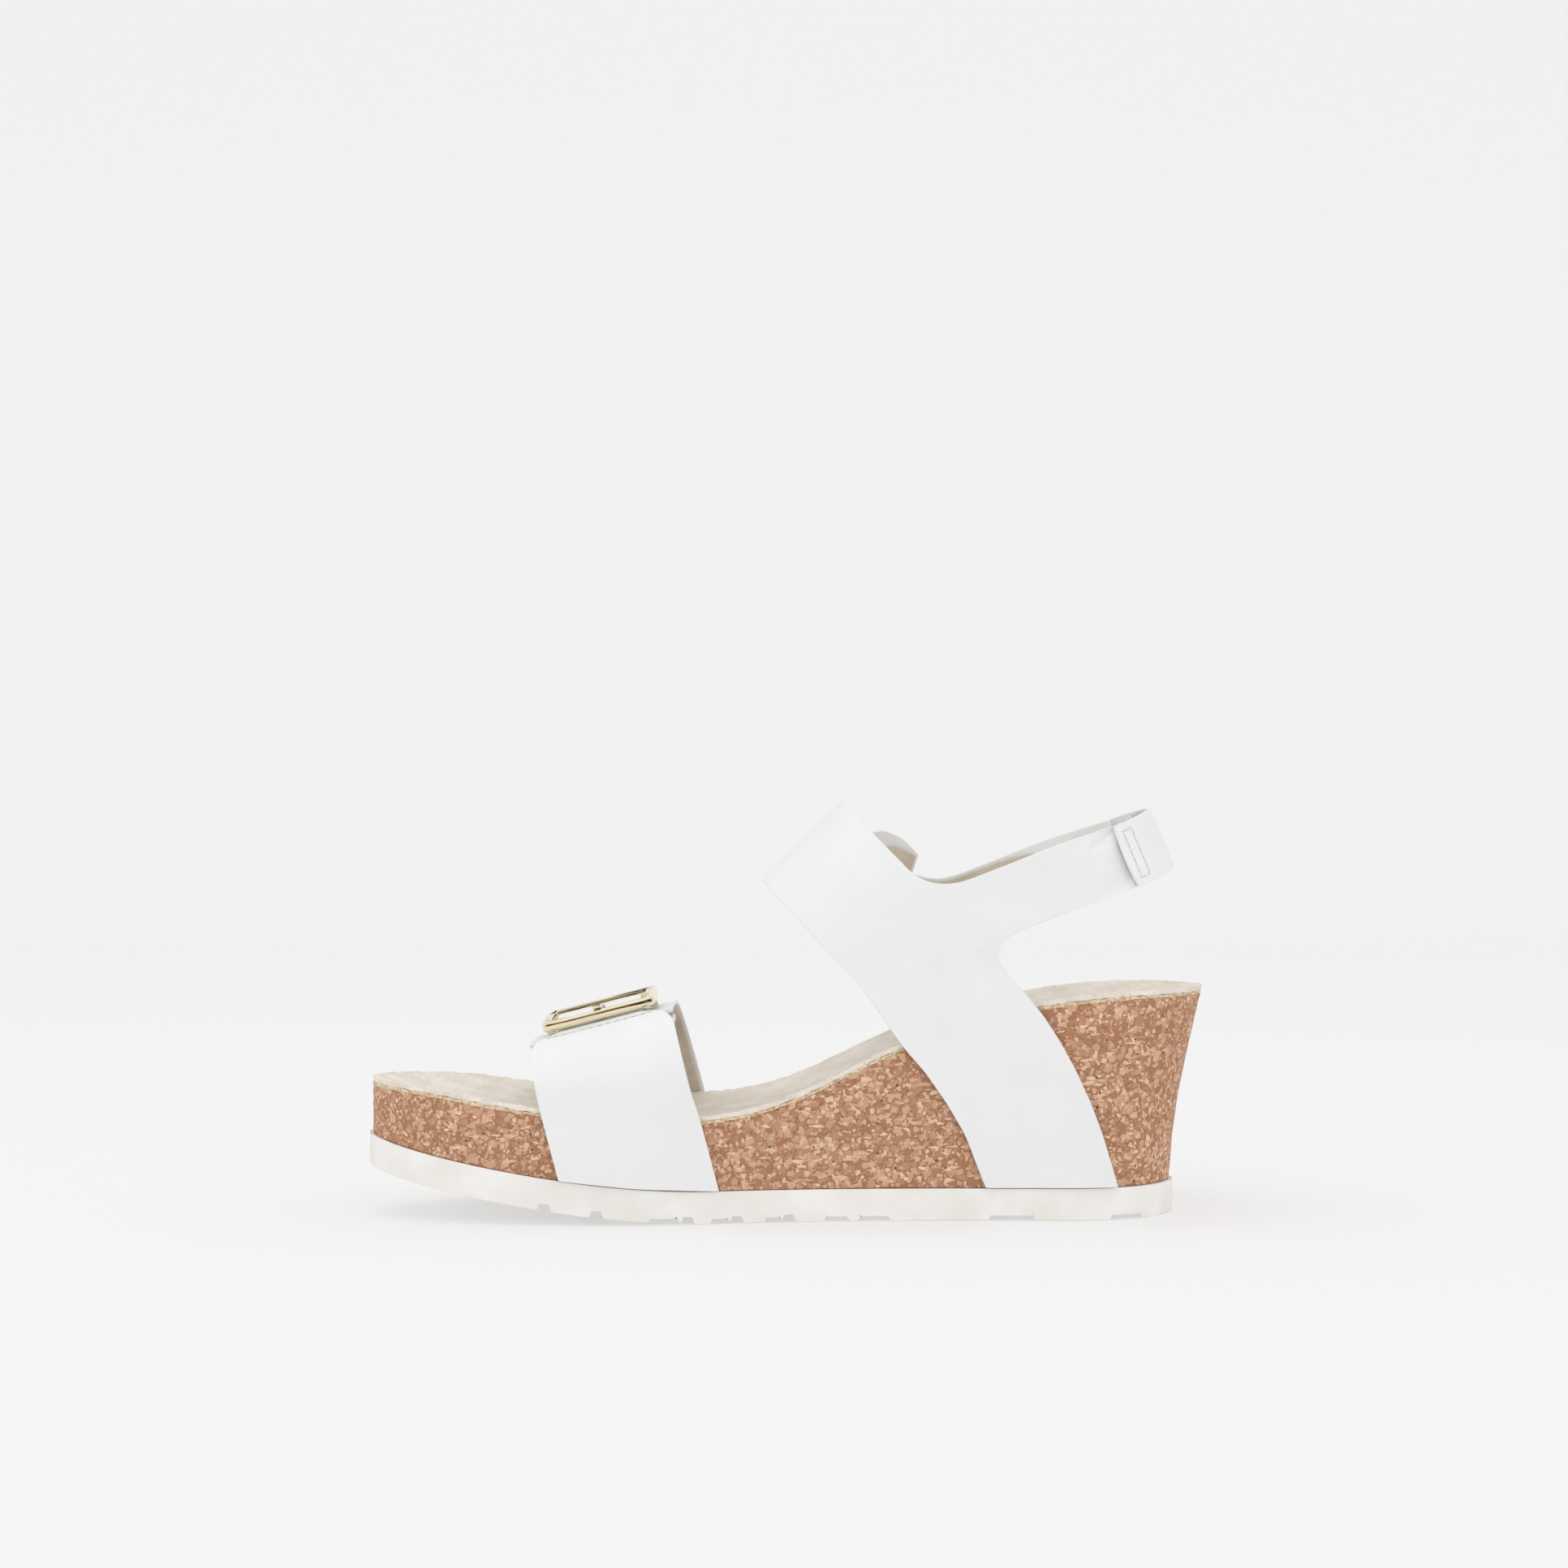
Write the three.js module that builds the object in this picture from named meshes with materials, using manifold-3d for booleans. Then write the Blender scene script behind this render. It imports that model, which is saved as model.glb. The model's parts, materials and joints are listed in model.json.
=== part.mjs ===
// Wedge sandal for a right foot: cork wedge on a light outsole, a buckled strap over the toes
// and a forked instep strap that runs into a strap round the heel. Millimetres, +Z up, the heel
// towards +X, the inner (medial) side towards -Y. The origin is under the middle of the sole.
import * as THREE from "three";
import { mergeVertices } from "three/addons/utils/BufferGeometryUtils.js";
import Module from "manifold-3d";

const wasm = await Module();
wasm.setup();

// ---------------------------------------------------------------- driving dimensions
const GAP = 0.3; // room between two pieces that touch
const LEATHER = 1.2; // strap leather
const LINING = 0.6; // suede lining under a strap
const PATCH = 0.6; // hook or loop tape
const FOOTBED_SUEDE = 1.1;
const JUTE = 0.8;
const OUTSOLE = 9.2; // outsole height, the same all along
const OUTSOLE_PROUD = 1.3; // how far the outsole stands out past the cork
const TOE_SPRING = 14.6; // rise of the outsole under the toe tip
const ROCKER_START = -25; // the sole lies flat from here to the heel
const TOE_X = -123.4;
const HEEL_X = 124.6;
const HEEL_UNDERCUT = 10; // the wedge narrows by this much below its heel rim
const CUP = 4.5; // depth of the footbed below its rim
const CUP_RUNOUT = 16; // the cup runs out over this length at the toe and at the heel
const BALL_HALF = 43.5;
const HEEL_HALF = 31;
const WALL_DRAFT = 0.03; // share by which the wedge narrows from its rim to the outsole
const TREAD_GROOVES = [-70.2, -55.1, -28.8, -14.6, 0.3];
const GROOVE_WIDE = 2.4;
const GROOVE_DEEP = 2;
const TREAD_RECESSES = [
  [-35.6, 8],
  [-19.5, 4.4],
  [-4.1, 4],
  [14.3, 6.3],
  [25.2, 8.2],
  [65.4, 12.6],
  [98.9, 8.6],
];
const RECESS_DEEP = 1.3;
const TREAD_SLANT = 0.5; // how far a groove's walls lean out for each millimetre of depth

// Rim of the footbed from toe to heel, as distance along the sole and height.
const RIM = [
  [TOE_X, 40.3],
  [-104, 38.6],
  [-73, 33.7],
  [-49, 31.5],
  [-22, 31.1],
  [-1, 35.5],
  [19, 44.7],
  [32, 51],
  [52, 58],
  [73, 63.3],
  [97, 66.2],
  [HEEL_X, 66.9],
];

// Plan outline of the wedge, anticlockwise seen from below: toe tip, inner side, heel, outer side.
const OUTLINE = [
  [TOE_X, -7],
  [-119.6, -20.5],
  [-110.5, -31],
  [-93, -39.3],
  [-62, -BALL_HALF],
  [-33, -41.5],
  [0, -34.5],
  [34, -HEEL_HALF - 0.2],
  [68, -HEEL_HALF + 0.4],
  [96, -HEEL_HALF + 0.6],
  [113, -HEEL_HALF + 7.5],
  [HEEL_X, 0],
  [114, HEEL_HALF - 7.5],
  [98, HEEL_HALF],
  [72, HEEL_HALF + 1.5],
  [38, HEEL_HALF + 4.5],
  [2, 40.5],
  [-32, BALL_HALF + 0.7],
  [-64, BALL_HALF],
  [-92, 36],
  [-110.5, 19.5],
  [-119.8, 6.5],
];

// Strap over the toes.
const FRONT_TILT = 14.5; // its width climbs towards the heel at this angle
const FRONT_FROM = -60.4; // its edges, measured along that slope
const FRONT_TO = -17.2;
const TONGUE_HALF = 12.8;
const TONGUE_TIP = 27;
const SHOULDER_Y = -28.5; // where the strap narrows to its tongue
const PAD_END_Y = -27; // where the outer half's underlay ends
const TONGUE_ROUND = 9; // how far the tongue's rounded tip reaches back from its end
const HOLE_PITCH = 7;
const HOLE_RADIUS = 1.5;
const SLOT_HALF_WIDE = 1.9; // slot that the prong swings in
const SLOT_HALF_LONG = 5.4;
const SLOT_AHEAD = 4.2; // its middle lies this far to the inner side of the bar
const LOOP_HALF = 11; // leather loop over the bar
const LOOP_REACH = 8.5;
const SEAM_DOWN = 1.7; // row of stitches below the tongue's shoulders
const SEAM_IN = 6;
const UNDERLAY = 1.8; // second layer under the outer half's end
const UNDERLAY_REACH = 14;
const UNDERLAY_IN = 5; // it stops this far short of the strap's front edge
const STRAP_TOP = 65.7; // underside of the strap at the buckle, square to the strap
const FRONT_SIDE = BALL_HALF + 0.5;
const FRONT_PROFILE = [
  [-FRONT_SIDE, 5],
  [-FRONT_SIDE, 25],
  [-FRONT_SIDE, 42],
  [-FRONT_SIDE + 2.2, 54],
  [-FRONT_SIDE + 8, 62],
  [-FRONT_SIDE + 14.5, 64.9],
  [-20, STRAP_TOP - 0.1],
  [-7, STRAP_TOP],
  [10, STRAP_TOP - 0.4],
  [24, STRAP_TOP - 1.4],
  [FRONT_SIDE - 9, 59],
  [FRONT_SIDE - 2, 50],
  [FRONT_SIDE, 38],
  [FRONT_SIDE, 20],
  [FRONT_SIDE, 5],
];

// Buckle over the toes.
const FRAME_LONG = 34.6; // along the strap's width
const FRAME_ACROSS = 39;
const RAIL = 4.6; // the two long rails
const END_RAIL = 3.2; // the two short ones, which carry the bar
const FRAME_THICK = 2.8;
const FRAME_BEVEL = 0.8;
const FRAME_CORNER = 3.5;
const BUCKLE_Y = -7;
const RAIL_ROOM = 0.83; // from the tongue up to the frame, before the frame leans
const BUCKLE_LEAN = 2.2; // the outer rail sits higher
const BAR_ROOM = 0.73; // from the outer half up to the bar
const BAR_RADIUS = 0.9;
const PRONG_WIDE = 2.4;
const PRONG_THICK = 1.3;
const PRONG_EYE = 1; // wall of its eye round the bar

// Instep strap.
const INSTEP_TILT = 44;
const ARM_FROM = 63;
const ARM_TO = 96.2;
const LATERAL_SHIFT = 6; // the outer arm sits this much further back
const RIDGE_Y = -3;
const FLAP_END_N = 26; // height of the flap's end on the outer side, square to the strap
const LATERAL_END_N = 64; // height of the outer arm's end
const FLAP_CORNER = 8;
const LINING_MARGIN = 1; // the linings end this far inside the leather
const INSTEP_PROFILE = [
  [-HEEL_HALF, -60],
  [-HEEL_HALF, -20],
  [-HEEL_HALF, 12],
  [-HEEL_HALF, 30],
  [-HEEL_HALF + 1.7, 46],
  [-HEEL_HALF + 8.5, 61],
  [-12, 70],
  [0, 73.4],
  [12, 70],
  [HEEL_HALF - 8.5, 61],
  [HEEL_HALF - 1.7, 46],
  [HEEL_HALF, 30],
  [HEEL_HALF, 12],
  [HEEL_HALF, -20],
  [HEEL_HALF, -60],
];
// Forked side of the instep strap seen from the side, from the sole up the front edge, without
// the arm's end over the foot.
const LEG_FRONT = [
  [57.7, 9.5],
  [55.4, 15.2],
  [51.8, 24.7],
  [46.6, 33.6],
  [40, 43.1],
  [33.4, 50.6],
  [29.4, 56.3],
  [21.2, 68.3],
];
const ARM_BACK = [
  [36.5, 100.8],
  [38.8, 99.2],
  [42, 98.1],
  [46, 97.7],
  [50.7, 98.3],
  [66, 104.3],
  [80, 110],
];
const LEG_BACK = [
  [84, 90.7],
  [66.1, 83.6],
  [63.2, 81.9],
  [61.4, 79.4],
  [61.2, 76.6],
  [62.5, 74],
  [69.6, 65.6],
  [74.6, 59.6],
  [79.5, 52],
  [83.8, 44],
  [88, 34.4],
  [91.4, 24.5],
  [94, 15.5],
  [95.6, 9.5],
];

// Strap round the heel.
const HEEL_SLOPE = 22.6; // it climbs towards the heel at this angle
const HEEL_LOW = 50.1; // its edges, square to that slope
const HEEL_HIGH = 69.2;
const ANKLE_TURN = 118; // where it leaves the straight side, along the slope
const ANKLE_BACK = 142.3;
const ARM_END = 134; // end of the forked strap's heel arm, along the slope
const TAB_START = 129.8;
const HEEL_STRAP_END = 96; // its loose end on the outer side, along the slope
const BOX_FROM = 1.6; // box of stitches behind the tab's front edge
const BOX_WIDE = 3.8;
const BOX_MARGIN = 2;
const STITCH_THREAD = 0.5;

// How finely the solids are divided.
const SOLE_ROWS = 34;
const SOLE_COLUMNS = 6;
const CELL = 9; // triangle size on the straps

// ---------------------------------------------------------------- materials
const COLOURS = {
  leather: ["#ecebea", 0.55, 0],
  suede: ["#cbc1b2", 0.95, 0],
  footbed: ["#e6ddd0", 0.95, 0],
  jute: ["#c9a578", 0.9, 0],
  cork: ["#c2997d", 0.9, 0],
  foam: ["#f1efec", 0.7, 0],
  gold: ["#e3cfa0", 0.18, 1],
  tape: ["#dedcd8", 0.95, 0],
  thread: ["#f4f3f1", 0.8, 0],
};

const group = new THREE.Group();
group.name = "wedge_sandal";

function add(name, geometry, finish) {
  const [color, roughness, metalness] = COLOURS[finish];
  const material = new THREE.MeshStandardMaterial({ color, roughness, metalness });
  geometry.computeVertexNormals();
  const mesh = new THREE.Mesh(geometry, material);
  mesh.name = name;
  group.add(mesh);
}

// ---------------------------------------------------------------- small maths
const radians = THREE.MathUtils.degToRad;
const smooth = THREE.MathUtils.smoothstep;
const lerp = THREE.MathUtils.lerp;

// A smooth height through [distance, height] points.
function through(points) {
  const slope = points.map((_, i) => {
    const a = points[Math.max(i - 1, 0)];
    const b = points[Math.min(i + 1, points.length - 1)];
    return (b[1] - a[1]) / (b[0] - a[0]);
  });
  return (x) => {
    let i = 0;
    while (i < points.length - 2 && x > points[i + 1][0]) {
      i += 1;
    }
    const [x0, y0] = points[i];
    const [x1, y1] = points[i + 1];
    const span = x1 - x0;
    const t = THREE.MathUtils.clamp((x - x0) / span, 0, 1);
    const rise = y1 - y0;
    const a = slope[i] * span;
    const b = slope[i + 1] * span;
    return y0 + t * (a + t * (3 * rise - 2 * a - b + t * (a + b - 2 * rise)));
  };
}

// Where a rising function meets a value.
function solve(f, value, from, to) {
  let low = from;
  let high = to;
  for (let i = 0; i < 40; i += 1) {
    const middle = (low + high) / 2;
    if (f(middle) < value) {
      low = middle;
    } else {
      high = middle;
    }
  }
  return (low + high) / 2;
}

// ---------------------------------------------------------------- solids
function welded(geometry) {
  geometry.deleteAttribute("normal");
  geometry.deleteAttribute("uv");
  return mergeVertices(geometry, 1e-4);
}

function toSolid(geometry) {
  const mesh = welded(geometry);
  return new wasm.Manifold(
    new wasm.Mesh({
      numProp: 3,
      vertProperties: new Float32Array(mesh.attributes.position.array),
      triVerts: new Uint32Array(mesh.index.array),
    }),
  );
}

function fromSolid(solid) {
  const mesh = solid.getMesh();
  const geometry = new THREE.BufferGeometry();
  geometry.setAttribute("position", new THREE.BufferAttribute(mesh.vertProperties, 3));
  geometry.setIndex(new THREE.BufferAttribute(mesh.triVerts, 1));
  return geometry;
}

function cut(geometry, tools) {
  let solid = toSolid(geometry);
  for (const tool of tools) {
    solid = solid.subtract(toSolid(tool));
  }
  return fromSolid(solid);
}

function join(geometry, tools) {
  let solid = toSolid(geometry);
  for (const tool of tools) {
    solid = solid.add(toSolid(tool));
  }
  return fromSolid(solid);
}

// Points and faces that are gathered into one closed body.
class Body {
  constructor() {
    this.positions = [];
    this.indices = [];
  }

  point(x, y, z) {
    this.positions.push(x, y, z);
    return this.positions.length / 3 - 1;
  }

  quad(a, b, c, d) {
    this.indices.push(a, b, c, a, c, d);
  }

  geometry() {
    const raw = new THREE.BufferGeometry();
    raw.setAttribute("position", new THREE.Float32BufferAttribute(this.positions, 3));
    raw.setIndex(this.indices);
    const merged = mergeVertices(raw, 1e-4);
    const index = merged.index.array;
    const kept = [];
    for (let i = 0; i < index.length; i += 3) {
      const [a, b, c] = [index[i], index[i + 1], index[i + 2]];
      if (a !== b && b !== c && c !== a) {
        kept.push(a, b, c);
      }
    }
    merged.setIndex(kept);
    return merged;
  }
}

// ---------------------------------------------------------------- sole
const rimHeight = through(RIM);
const outlineCurve = new THREE.CatmullRomCurve3(
  OUTLINE.map(([x, y]) => new THREE.Vector3(x, y, 0)),
  true,
);
outlineCurve.arcLengthDivisions = 600;
const heelShare = solve((t) => outlineCurve.getPointAt(t).x, HEEL_X - 0.01, 0.2, 0.5);

function soleBottom(x) {
  const along = Math.max(0, (ROCKER_START - x) / (ROCKER_START - TOE_X));
  return TOE_SPRING * along ** 1.65;
}

function outsoleTop(x) {
  return soleBottom(x) + OUTSOLE;
}

// How far the heel has drawn in at a depth from 0 at the rim to 1 at the outsole.
function undercut(x, depth) {
  return HEEL_UNDERCUT * (1 - (1 - depth) ** 1.7) * smooth(x, 55, HEEL_X);
}

// A point of the plan outline, pushed outwards by an offset. Side -1 is the inner side.
function outlinePoint(side, share, outwards, depth) {
  const t = side < 0 ? share * heelShare : 1 - share * (1 - heelShare);
  const p = outlineCurve.getPointAt(t % 1);
  const tangent = outlineCurve.getTangentAt(t % 1);
  const x = p.x + tangent.y * outwards;
  const y = p.y - tangent.x * outwards;
  return [x - undercut(p.x, depth), y * (1 - WALL_DRAFT * depth)];
}

// One layer of the sole. top and bottom give a height for a point and its place across the sole.
function soleLayer(top, bottom, depths, outwards = 0) {
  const body = new Body();
  const shareOf = (i) => i / SOLE_ROWS;
  const acrossOf = (j) => Math.sin((Math.PI / 2) * ((2 * j) / SOLE_COLUMNS - 1));
  const sheetAt = (height, depth) => {
    const rows = [];
    for (let i = 0; i <= SOLE_ROWS; i += 1) {
      const near = outlinePoint(-1, shareOf(i), outwards, depth);
      const far = outlinePoint(1, shareOf(i), outwards, depth);
      const row = [];
      for (let j = 0; j <= SOLE_COLUMNS; j += 1) {
        const across = acrossOf(j);
        const x = lerp(near[0], far[0], (across + 1) / 2);
        const y = lerp(near[1], far[1], (across + 1) / 2);
        row.push(body.point(x, y, height(x, across)));
      }
      rows.push(row);
    }
    return rows;
  };
  const up = sheetAt(top, depths[0]);
  const down = sheetAt(bottom, depths[depths.length - 1]);
  for (let i = 0; i < SOLE_ROWS; i += 1) {
    for (let j = 0; j < SOLE_COLUMNS; j += 1) {
      body.quad(up[i][j], up[i + 1][j], up[i + 1][j + 1], up[i][j + 1]);
      body.quad(down[i][j], down[i][j + 1], down[i + 1][j + 1], down[i + 1][j]);
    }
  }
  const wall = (side, i, level) => {
    const [x, y] = outlinePoint(side, shareOf(i), outwards, depths[level]);
    const fall = level / (depths.length - 1);
    return body.point(x, y, lerp(top(x, side), bottom(x, side), fall));
  };
  for (const side of [-1, 1]) {
    for (let i = 0; i < SOLE_ROWS; i += 1) {
      for (let level = 0; level < depths.length - 1; level += 1) {
        const a = wall(side, i, level);
        const b = wall(side, i + 1, level);
        const c = wall(side, i + 1, level + 1);
        const d = wall(side, i, level + 1);
        if (side < 0) {
          body.quad(a, d, c, b);
        } else {
          body.quad(a, b, c, d);
        }
      }
    }
  }
  return body.geometry();
}

function footbed(x, across) {
  const ends = smooth(x, TOE_X, TOE_X + CUP_RUNOUT) * (1 - smooth(x, HEEL_X - CUP_RUNOUT, HEEL_X));
  return rimHeight(x) - CUP * ends * (1 - Math.abs(across) ** 3);
}

const lowered = (by) => (x, across) => footbed(x, across) - by;
const juteTop = FOOTBED_SUEDE + GAP;
const corkTop = juteTop + JUTE + GAP;

add("footbed_lining", soleLayer(footbed, lowered(FOOTBED_SUEDE), [0, 0.02]), "footbed");
add("upper_jute_layer", soleLayer(lowered(juteTop), lowered(juteTop + JUTE), [0.02, 0.05]), "jute");
add(
  "cork_wedge",
  soleLayer(lowered(corkTop), (x) => outsoleTop(x) + GAP, [0.05, 0.25, 0.5, 0.75, 1]),
  "cork",
);

// A bar across the sole with leaning sides that cuts the tread.
function treadCutter(x, width, depth) {
  const top = width / 2;
  const low = top + 2 * depth * TREAD_SLANT;
  const section = new THREE.Shape(
    [
      [-top, depth],
      [-low, -depth],
      [low, -depth],
      [top, depth],
    ].map(([across, up]) => new THREE.Vector2(across, up)),
  );
  const bar = new THREE.ExtrudeGeometry(section, { depth: 120, bevelEnabled: false });
  bar.translate(0, 0, -60);
  bar.rotateX(Math.PI / 2);
  return bar.translate(x, 0, soleBottom(x));
}

const outsole = soleLayer(
  (x) => outsoleTop(x),
  (x) => soleBottom(x),
  [1, 1],
  OUTSOLE_PROUD,
);
add(
  "outsole",
  cut(outsole, [
    ...TREAD_GROOVES.map((x) => treadCutter(x, GROOVE_WIDE, GROOVE_DEEP)),
    ...TREAD_RECESSES.map(([x, width]) => treadCutter(x, width, RECESS_DEEP)),
  ]),
  "foam",
);

// ---------------------------------------------------------------- surfaces the straps lie on
// Side of the wedge at a place along the sole and a height.
const sideOf = { "-1": [], 1: [] };
for (const side of [-1, 1]) {
  for (let i = 2; i <= 58; i += 1) {
    const [x, y] = outlinePoint(side, i / 60, 0, 0);
    sideOf[side].push([x, Math.abs(y)]);
  }
}
const wedgeHalf = { "-1": through(sideOf[-1]), 1: through(sideOf[1]) };

function wedgeSide(side, x, z) {
  const rim = rimHeight(x);
  const floor = outsoleTop(x);
  const depth = THREE.MathUtils.clamp((rim - z) / (rim - floor), 0, 1);
  const drawn = x + undercut(x + undercut(x, depth), depth);
  return wedgeHalf[side](drawn) * (1 - WALL_DRAFT * depth);
}

// The side of the ankle draws in towards the heel.
const slopeCos = Math.cos(radians(HEEL_SLOPE));
const slopeSin = Math.sin(radians(HEEL_SLOPE));
function ankleTaper(x, z) {
  const along = x * slopeCos + z * slopeSin;
  const part = Math.max(0, (along - ANKLE_TURN) / (ANKLE_BACK - ANKLE_TURN));
  return Math.sqrt(Math.max(0, 1 - part * part));
}

// Surface under a strap that goes over the foot. s runs along the strap's width, u across the
// foot from the inner side to the outer one, w is the distance outwards.
class ArchSurface {
  constructor(tilt, profile, clear) {
    this.cos = Math.cos(radians(tilt));
    this.sin = Math.sin(radians(tilt));
    this.curve = new THREE.CatmullRomCurve3(profile.map(([y, n]) => new THREE.Vector3(y, n, 0)));
    this.curve.arcLengthDivisions = 500;
    this.length = this.curve.getLength();
    this.clear = clear;
    this.peak = this.uAt((p) => p.x, RIDGE_Y);
  }

  profileAt(u) {
    return this.curve.getPointAt(THREE.MathUtils.clamp(u / this.length, 0, 1));
  }

  uAt(measure, value) {
    return solve((u) => measure(this.profileAt(u)), value, 0, this.length);
  }

  uAcross(y) {
    return this.uAt((p) => p.x, y);
  }

  // Place along the strap where the inner (-1) or outer (1) side reaches a height n.
  uRise(side, n) {
    if (side < 0) {
      return solve((u) => this.profileAt(u).y, n, 0, this.peak);
    }
    return solve((u) => -this.profileAt(u).y, -n, this.peak, this.length);
  }

  // Pattern point for a point of the side view.
  flat(side, [x, z]) {
    return [x * this.cos + z * this.sin, this.uRise(side, z * this.cos - x * this.sin)];
  }

  base(s, u) {
    const p = this.profileAt(u);
    const x = s * this.cos - p.y * this.sin;
    const z = s * this.sin + p.y * this.cos;
    const side = Math.sign(p.x) || 1;
    const rim = rimHeight(x);
    const wall = side * wedgeSide(side, x, z);
    const free = smooth(z, rim, rim + this.clear);
    return new THREE.Vector3(x, lerp(wall, p.x, free) * ankleTaper(x, z), z);
  }
}

// Surface under the strap round the heel. t runs round the heel, g up the strap's width.
class HeelSurface {
  constructor() {
    const deep = ANKLE_BACK - ANKLE_TURN;
    const points = [];
    for (const along of [60, 75, 90, 105]) {
      points.push(new THREE.Vector3(along, -HEEL_HALF, 0));
    }
    for (let i = 0; i <= 12; i += 1) {
      const angle = (Math.PI * i) / 12 - Math.PI / 2;
      const along = ANKLE_TURN + deep * Math.cos(angle);
      points.push(new THREE.Vector3(along, HEEL_HALF * Math.sin(angle), 0));
    }
    for (const along of [105, 90, 75, 60]) {
      points.push(new THREE.Vector3(along, HEEL_HALF, 0));
    }
    this.curve = new THREE.CatmullRomCurve3(points);
    this.curve.arcLengthDivisions = 500;
    this.length = this.curve.getLength();
  }

  planAt(t) {
    return this.curve.getPointAt(THREE.MathUtils.clamp(t / this.length, 0, 1));
  }

  // Place round the heel where the given side reaches a distance along the slope.
  tAt(side, along) {
    const half = this.length / 2;
    if (side < 0) {
      return solve((t) => this.planAt(t).x, along, 0, half);
    }
    return solve((t) => -this.planAt(t).x, -along, half, this.length);
  }

  base(t, g) {
    const p = this.planAt(t);
    return new THREE.Vector3(
      p.x * slopeCos - g * slopeSin,
      p.y,
      p.x * slopeSin + g * slopeCos,
    );
  }
}

function offsetPoint(surface, a, b, w) {
  const step = 0.4;
  const da = surface.base(a + step, b).sub(surface.base(a - step, b));
  const db = surface.base(a, b + step).sub(surface.base(a, b - step));
  return surface.base(a, b).addScaledVector(da.cross(db).normalize(), w);
}

// ---------------------------------------------------------------- sheets
// Splits the edges of a closed outline that are longer than a cell.
function resampled(loop, cell) {
  return loop.flatMap((p, i) => {
    const next = loop[(i + 1) % loop.length];
    const count = Math.max(1, Math.round(p.distanceTo(next) / cell));
    return Array.from({ length: count }, (_, k) => p.clone().lerp(next, k / count));
  });
}

function isInside(p, loops) {
  let inside = false;
  for (const loop of loops) {
    for (let i = 0; i < loop.length; i += 1) {
      const a = loop[i];
      const b = loop[(i + 1) % loop.length];
      const crosses = a.y > p.y !== b.y > p.y;
      if (crosses && p.x < a.x + ((b.x - a.x) * (p.y - a.y)) / (b.y - a.y)) {
        inside = !inside;
      }
    }
  }
  return inside;
}

// Points of an even triangular grid inside the outline and clear of its edge.
function innerPoints(loops, cell) {
  const box = new THREE.Box2().setFromPoints(loops[0]);
  const edge = loops.flatMap((loop) => resampled(loop, cell / 3));
  const points = [];
  let row = 0;
  for (let y = box.min.y + cell * 0.4; y < box.max.y; y += cell * 0.87) {
    row += 1;
    for (let x = box.min.x + cell * (row % 2 ? 0.3 : 0.8); x < box.max.x; x += cell) {
      const p = new THREE.Vector2(x, y + 0.01 * Math.sin(x));
      const clear = edge.every((q) => q.distanceTo(p) > cell * 0.6);
      if (clear && isInside(p, loops)) {
        points.push(p);
      }
    }
  }
  return points;
}

function circleHolds([a, b, c], p) {
  const [ax, ay] = [a.x - p.x, a.y - p.y];
  const [bx, by] = [b.x - p.x, b.y - p.y];
  const [cx, cy] = [c.x - p.x, c.y - p.y];
  const first = (ax * ax + ay * ay) * (bx * cy - cx * by);
  const second = (bx * bx + by * by) * (ax * cy - cx * ay);
  const third = (cx * cx + cy * cy) * (ax * by - bx * ay);
  return first - second + third > 1e-9;
}

// Well-shaped triangles between points, each as three indices, anticlockwise.
function triangulated(points) {
  const far = 4000;
  const count = points.length;
  const all = [
    ...points,
    new THREE.Vector2(-far, -far),
    new THREE.Vector2(far * 1.1, -far * 0.9),
    new THREE.Vector2(-far * 0.1, far * 1.2),
  ];
  let faces = [[count, count + 1, count + 2]];
  for (let i = 0; i < count; i += 1) {
    const kept = [];
    const edges = new Map();
    for (const face of faces) {
      if (!circleHolds(face.map((k) => all[k]), all[i])) {
        kept.push(face);
        continue;
      }
      for (let k = 0; k < 3; k += 1) {
        const [from, to] = [face[k], face[(k + 1) % 3]];
        if (!edges.delete(`${to},${from}`)) {
          edges.set(`${from},${to}`, [from, to]);
        }
      }
    }
    faces = kept.concat([...edges.values()].map(([from, to]) => [from, to, i]));
  }
  return faces.filter((face) => face.every((k) => k < count));
}

// The triangles of a flat pattern. Outline edges that the triangles miss are halved first.
function patternFaces(outlines, cell) {
  let loops = outlines.map((loop) => resampled(loop, cell));
  const inner = innerPoints(loops, cell);
  for (let round = 0; round < 8; round += 1) {
    const points = [...loops.flat(), ...inner];
    const faces = triangulated(points).filter(([a, b, c]) => {
      const middle = points[a].clone().add(points[b]).add(points[c]).divideScalar(3);
      return isInside(middle, loops);
    });
    const used = new Set(faces.flatMap(([a, b, c]) => [`${a},${b}`, `${b},${c}`, `${c},${a}`]));
    let start = 0;
    let missing = 0;
    loops = loops.map((loop) => {
      const first = start;
      start += loop.length;
      return loop.flatMap((p, i) => {
        const next = (i + 1) % loop.length;
        if (used.has(`${first + i},${first + next}`)) {
          return [p];
        }
        missing += 1;
        return [p, p.clone().lerp(loop[next], 0.5)];
      });
    });
    if (missing === 0) {
      return { points, faces, loops };
    }
  }
  throw new Error("a pattern's outline could not be filled");
}

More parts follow.
